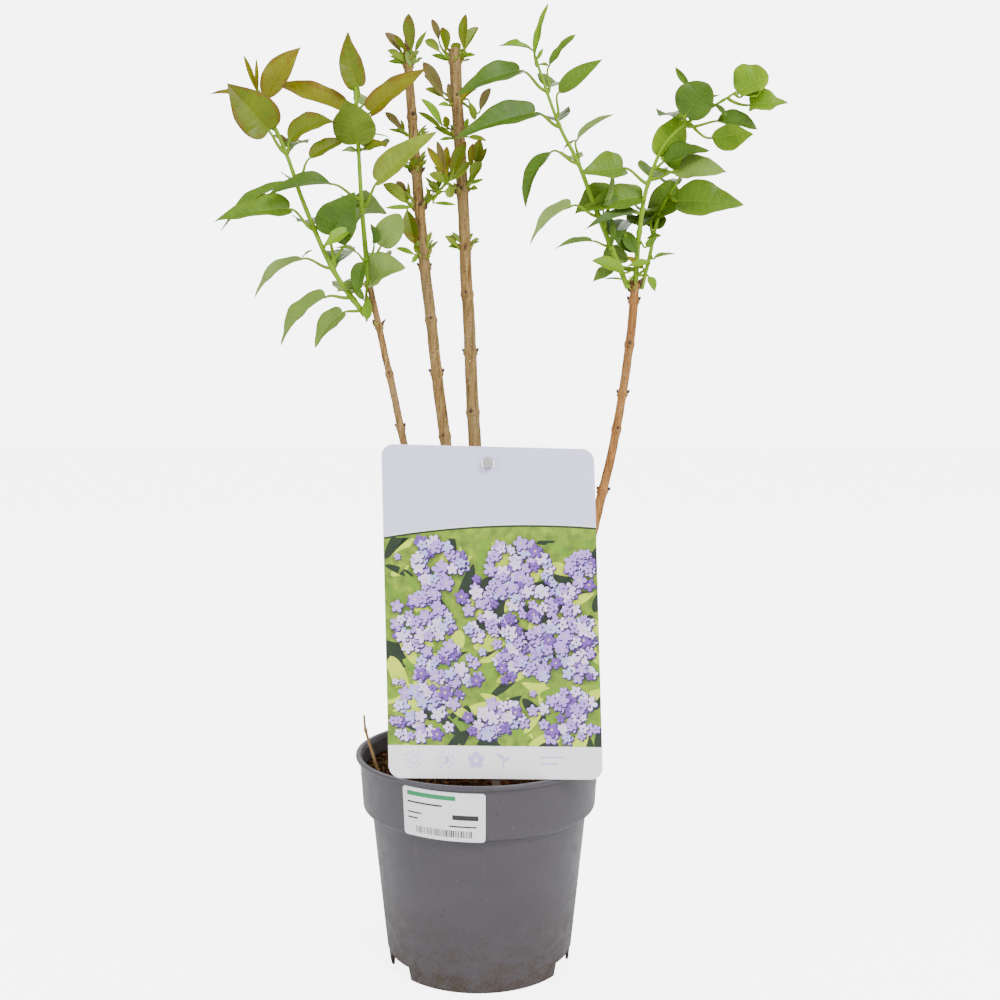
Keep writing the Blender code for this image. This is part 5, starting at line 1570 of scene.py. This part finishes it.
def makePicture():
    rng = random.Random(61)
    left, right = -half + 0.05, half - 0.05
    low, high = cardPlan["pictureFoot"], headerEdge(-1) - cardPlan["lineWide"]
    layer = cardPlan["layer"]
    number = {key: i for i, key in enumerate(pictureKeys)}
    panel = [(left, low), (right, low)]
    panel += [(right * t, headerEdge(t) - cardPlan["lineWide"]) for t in (1 - i / 16 for i in range(33))]
    shapes = [(panel, 0.0, layer, number["ground"])]
    band = [(right * t, headerEdge(t) - cardPlan["lineWide"]) for t in (i / 16 - 1 for i in range(33))]
    shapes.append(([(x, y - 1.0) for x, y in band] + band[::-1], layer, 0.2, number["shade"]))
    depth = layer
    for _ in range(170):   # soft blotches of far foliage
        x, y = rng.uniform(left, right), rng.uniform(low, headerEdge(0) - 3)
        key = rng.choice(["lime", "grass", "shade", "shade", "lime", "ground"])
        shape = pictureLeaf(x, y, rng.uniform(12, 30), rng.uniform(3.5, 8), rng.uniform(0, 2 * math.pi))
        shapes.append((insidePanel(shape, left, low, right, high), depth, 0.012, number[key]))
        depth += 0.0013
    flowers = []
    for row in range(4):   # loose round heads in staggered rows over the panel
        for column in range(3):
            cx = -39 + 40 * column + (14 if row % 2 else 0) + rng.uniform(-5, 5)
            cy = low + 15 + 29.5 * row + rng.uniform(-5, 5)
            reach = rng.uniform(13, 19)
            for _ in range(int(reach * 2.7)):
                a, r = rng.uniform(0, 2 * math.pi), reach * math.sqrt(rng.random())
                flowers.append((cx + r * math.cos(a), cy + r * math.sin(a), rng.uniform(2.4, 4.6)))
    for _ in range(40):
        flowers.append((rng.uniform(left + 5, right - 5), rng.uniform(low + 5, high - 3), rng.uniform(2.0, 3.8)))
    for x, y, size in flowers:
        if not (left + size < x < right - size and low + size < y < headerEdge(x / half) - 2.2 - size):
            continue
        turn = rng.uniform(0, 1.3)
        shapes.append((petals(x + 0.5, y - 0.6, size * 1.05, turn), depth, 0.012, number["plum"]))
        depth += 0.0013
        key = rng.choice(["violet", "lilac", "lilac", "palelilac", "palelilac", "lilac", "blue"])
        shapes.append((petals(x, y, size, turn), depth, 0.012, number[key]))
        depth += 0.0013
        shapes.append((disc(x, y, size * 0.16, 10), depth, 0.012, number["heart" if size > 3.4 else "plum"]))
        depth += 0.0013
    piece = printed("card_picture", shapes, [mats["print_" + key] for key in pictureKeys])
    return settle(piece, "card")


makePicture()


def ringOf(x, y, outer, inner, steps=28):
    # a ring as a row of small wedges
    wedges = []
    for k in range(steps):
        a, b = 2 * math.pi * k / steps, 2 * math.pi * (k + 1) / steps
        wedges.append([(x + outer * math.cos(a), y + outer * math.sin(a)), (x + outer * math.cos(b), y + outer * math.sin(b)),
                       (x + inner * math.cos(b), y + inner * math.sin(b)), (x + inner * math.cos(a), y + inner * math.sin(a))])
    return wedges


def bar(x0, y0, x1, y1, wide):
    run = Vector((x1 - x0, y1 - y0)).normalized()
    side = Vector((-run.y, run.x)) * wide / 2
    return [(x0 - side.x, y0 - side.y), (x1 - side.x, y1 - side.y), (x1 + side.x, y1 + side.y), (x0 + side.x, y0 + side.y)]


def makeIcons():
    # plain growing signs: sun, half sun, flower, sprout and a measuring bar
    outlines = []
    row = cardPlan["iconUp"]
    places = {"sun": -46.5, "half": -28.5, "flower": -11.0, "sprout": 4.2, "bars": 32.4}
    for key in ("sun", "half"):
        x = places[key]
        outlines += ringOf(x, row, 2.5, 2.0)
        for k in range(12):
            a = 2 * math.pi * k / 12
            outlines.append(bar(x + 3.4 * math.cos(a), row + 3.4 * math.sin(a), x + 5.4 * math.cos(a), row + 5.4 * math.sin(a), 0.5))
    filled = [(places["half"] + 2.1 * math.cos(a), row + 2.1 * math.sin(a)) for a in
              (math.radians(-90 + 180 * k / 16) for k in range(17))]
    outlines.append(filled)
    for k in range(5):
        a = 2 * math.pi * k / 5 + math.pi / 2
        outlines.append(disc(places["flower"] + 3.0 * math.cos(a), row + 3.0 * math.sin(a), 1.9, 18))
    outlines += [bar(places["sprout"], row - 5, places["sprout"], row + 3, 0.6)]
    outlines += [pictureLeaf(places["sprout"], row - 1, 5.0, 1.6, 0.7), pictureLeaf(places["sprout"], row + 1, 5.0, 1.6, 2.4)]
    outlines += [bar(places["bars"] - 7, row + 1.8, places["bars"] + 7, row + 1.8, 0.9),
                 bar(places["bars"] - 7, row - 1.8, places["bars"] + 3, row - 1.8, 0.9)]
    piece = printed("card_icons", [(o, 0.0, cardPlan["layer"], 0) for o in outlines], [mats["icon"]])
    return settle(piece, "card")


makeIcons()


def makeStick():
    back = cardPlan["thick"] / 2 + cardPlan["stickClear"]
    footUp = (mixPlan["edge"] + 1.1 - cardPlan["foot"][2]) / math.cos(math.radians(cardPlan["leanBack"]))
    topUp = cardPlan["holeUp"] + 6.0
    bm = bmesh.new()
    bmesh.ops.create_cube(bm, size=1.0)
    bmesh.ops.scale(bm, vec=(cardPlan["stickWide"], cardPlan["stickThick"], topUp - footUp), verts=bm.verts)
    bmesh.ops.translate(bm, vec=(0, back + cardPlan["stickThick"] / 2, (topUp + footUp) / 2), verts=bm.verts)
    bmesh.ops.bevel(bm, geom=bm.edges, offset=0.55, segments=3, affect="EDGES", profile=0.5)
    profile = [(0.0, -cardPlan["pegOut"]), (cardPlan["peg"] * 0.72, -cardPlan["pegOut"]),
               (cardPlan["peg"] * 0.93, -cardPlan["pegOut"] + 0.3), (cardPlan["peg"], -cardPlan["pegOut"] + 0.9),
               (cardPlan["peg"], back + 0.4), (0.0, back + 0.4)]
    rings = []
    for r, y in profile:
        count = 1 if r == 0 else 40
        rings.append([bm.verts.new((r * math.cos(2 * math.pi * k / 40), y, cardPlan["holeUp"] + r * math.sin(2 * math.pi * k / 40)))
                      for k in range(count)])
    for low, high in zip(rings, rings[1:]):
        for k in range(40):
            n = (k + 1) % 40
            corners = [low[k % len(low)], low[n % len(low)], high[n % len(high)], high[k % len(high)]]
            unique = [v for i, v in enumerate(corners) if v not in corners[:i]]
            bm.faces.new(unique)
    placeOnCard(bm)
    bmesh.ops.recalc_face_normals(bm, faces=bm.faces)
    mesh = bpy.data.meshes.new("card_stick")
    bm.to_mesh(mesh)
    bm.free()
    mesh.materials.append(mats["stick"])
    mesh.shade_smooth()
    mesh.set_sharp_from_angle(angle=math.radians(40))
    piece = bpy.data.objects.new("card_stick", mesh)
    bpy.context.scene.collection.objects.link(piece)
    return settle(piece, "stick", "label_stick")


makeStick()
print("label card and stick made")


# price sticker: a rounded patch bent to the band, with plain marks in place of print
stickerPlan = {"left": -35.8, "right": 3.7, "low": 96.4, "high": 125.0, "slant": 1.1, "corner": 2.0, "thick": 0.18, "clear": 0.12}


def onBand(u, v, out):
    # u and v run from 0 to 1 over the sticker; its right end sits a little lower
    s = stickerPlan
    azimuth = math.radians(s["left"] + (s["right"] - s["left"]) * u)
    height = s["low"] + (s["high"] - s["low"]) * v + s["slant"] * (0.5 - u)
    slope = (potPlan["bandTop"] - potPlan["bandLow"]) / (potPlan["height"] - potPlan["lipDrop"] - potPlan["bandFoot"])
    radius = potPlan["bandLow"] + slope * (height - potPlan["bandFoot"]) + s["clear"] + out
    return Vector((radius * math.sin(azimuth), -radius * math.cos(azimuth), height))


def bentPatch(u0, v0, u1, v1, out, thick, corner=0.0, columns=36):
    # a closed patch in rows of columns; its corners are rounded by pulling the end columns in
    verts, faces = [], []
    length, tall = 49.8, 28.6
    for side in (out + thick, out):
        for k in range(columns + 1):
            t = k / columns
            if corner:
                t = 0.5 - 0.5 * math.cos(math.pi * t)
            u = u0 + (u1 - u0) * t
            near = min(u - u0, u1 - u) * length
            pull = corner - math.sqrt(max(0.0, corner ** 2 - max(0.0, corner - near) ** 2)) if corner else 0.0
            verts.append(onBand(u, v0 + pull / tall, side))
            verts.append(onBand(u, v1 - pull / tall, side))
    back = 2 * (columns + 1)
    for k in range(columns):
        a = 2 * k
        faces.append((a, a + 2, a + 3, a + 1))
        faces.append((back + a, back + a + 1, back + a + 3, back + a + 2))
        faces.append((a, back + a, back + a + 2, a + 2))
        faces.append((a + 1, a + 3, back + a + 3, back + a + 1))
    faces.append((0, 1, back + 1, back))
    faces.append((2 * columns, back + 2 * columns, back + 2 * columns + 1, 2 * columns + 1))
    return verts, faces


def makeSticker():
    s = stickerPlan
    sheet = (*bentPatch(0, 0, 1, 1, 0, s["thick"], s["corner"]), 0)
    marks = [(*bentPatch(0.06, 0.83, 0.66, 0.92, s["thick"], 0.03, columns=20), 1)]
    rng = random.Random(71)
    for u0, v, u1, tall in ((0.06, 0.68, 0.50, 0.035), (0.06, 0.47, 0.24, 0.03), (0.06, 0.36, 0.20, 0.03),
                            (0.62, 0.44, 0.92, 0.10), (0.58, 0.29, 0.90, 0.03)):
        marks.append((*bentPatch(u0, v, u1, v + tall, s["thick"], 0.03, columns=10), 2))
    u = 0.17
    while u < 0.83:   # a row of upright bars
        wide = rng.choice([0.006, 0.006, 0.010, 0.015])
        marks.append((*bentPatch(u, 0.08, u + wide, 0.22, s["thick"], 0.03, columns=2), 2))
        u += wide + rng.choice([0.006, 0.009, 0.013])
    verts, faces, indices = join([sheet] + marks)
    piece = newPiece("sticker_sheet", verts, faces, [mats["sticker"], mats["stickerGreen"], mats["ink"]], indices, smooth=False)
    turnOutwards(piece)
    return settle(piece, "sticker", "price_sticker")


makeSticker()
print("sticker made")


# dry twig stuck in the mix
twigPlaces = [(-60.0, -16.0, 119.0), (-62.0, -16.6, 125.5), (-63.0, -17, 130), (-65.9, -17.5, 140), (-67.6, -18, 147), (-68.2, -18, 155)]
twigPath = catmullRom(twigPlaces, 60)
twigRadii = [1.0 - 0.35 * i / 60 + 0.35 * math.exp(-((p.z - 146) / 1.2) ** 2) for i, p in enumerate(twigPath)]
settle(growTubes("dry_twig_bark", [(twigPath, twigRadii)], mats["drytwig"], 12, 0.15, 900.0, 0.15), "dry_twig", "dry_twig")
print("dry twig made")


# floor, light and camera
def makeFloor():
    mesh = bpy.data.meshes.new("floor")
    size = 6.0
    mesh.from_pydata([(-size, -size, 0), (size, -size, 0), (size, size, 0), (-size, size, 0)], [], [(0, 1, 2, 3)])
    mesh.materials.append(newMaterial("floor", (0.90, 0.90, 0.90), 0.7)[0])
    floor = bpy.data.objects.new("floor", mesh)
    bpy.context.scene.collection.objects.link(floor)
    return floor


def areaLight(name, place, aim, size, power):
    data = bpy.data.lights.new(name, "AREA")
    data.shape = "RECTANGLE"
    data.size, data.size_y = size
    data.energy = power
    lamp = bpy.data.objects.new(name, data)
    lamp.location = place
    lamp.rotation_euler = (Vector(aim) - Vector(place)).to_track_quat("-Z", "Y").to_euler()
    bpy.context.scene.collection.objects.link(lamp)


lightPlan = {"world": 1.10, "worldSeen": 6.5, "floorSeen": 5.1, "key": 47.0, "fill": 12.5, "back": 13.0}


def seenBrighter(tree, plain, seen, target):
    # what the camera sees straight on is a white backdrop; the light on the plant is left as it is
    path = addNode(tree, "ShaderNodeLightPath")
    both = addNode(tree, "ShaderNodeMixShader")
    tree.links.new(path.outputs["Is Camera Ray"], both.inputs["Fac"])
    tree.links.new(plain, both.inputs[1])
    tree.links.new(seen, both.inputs[2])
    tree.links.new(both.outputs["Shader"], target)


floor = makeFloor()
tree = floor.data.materials[0].node_tree
shine = addNode(tree, "ShaderNodeEmission", Strength=lightPlan["floorSeen"])
sheen = addNode(tree, "ShaderNodeAddShader")
tree.links.new(tree.nodes["Principled BSDF"].outputs["BSDF"], sheen.inputs[0])
tree.links.new(shine.outputs["Emission"], sheen.inputs[1])
seenBrighter(tree, tree.nodes["Principled BSDF"].outputs["BSDF"], sheen.outputs["Shader"],
             tree.nodes["Material Output"].inputs["Surface"])
world = bpy.data.worlds.new("studio")
bpy.context.scene.world = world
world.use_nodes = True
tree = world.node_tree
plain = tree.nodes["Background"]
plain.inputs["Color"].default_value = (1, 1, 1, 1)
plain.inputs["Strength"].default_value = lightPlan["world"]
bright = addNode(tree, "ShaderNodeBackground", Strength=lightPlan["worldSeen"])
bright.inputs["Color"].default_value = (1, 1, 1, 1)
seenBrighter(tree, plain.outputs["Background"], bright.outputs["Background"],
             tree.nodes["World Output"].inputs["Surface"])
areaLight("key_light", (1.0, -1.5, 1.75), (0, 0, 0.3), (0.8, 0.8), lightPlan["key"])
areaLight("fill_light", (-1.5, -1.0, 0.8), (0, 0, 0.3), (1.2, 1.2), lightPlan["fill"])
areaLight("back_light", (-0.3, 1.6, 1.6), (0, 0, 0.4), (1.2, 0.8), lightPlan["back"])

cameraData = bpy.data.cameras.new("camera")
cameraData.sensor_width = cameraPlan["sensor"]
cameraData.lens = cameraPlan["focal"] / (2 * cameraPlan["middle"]) * cameraPlan["sensor"]
camera = bpy.data.objects.new("camera", cameraData)
camera.location = Vector(cameraPlan["place"]) * mm
camera.rotation_euler = (math.radians(90 - cameraPlan["downDegrees"]), 0, 0)
bpy.context.scene.collection.objects.link(camera)
bpy.context.scene.camera = camera

print("scene finished")
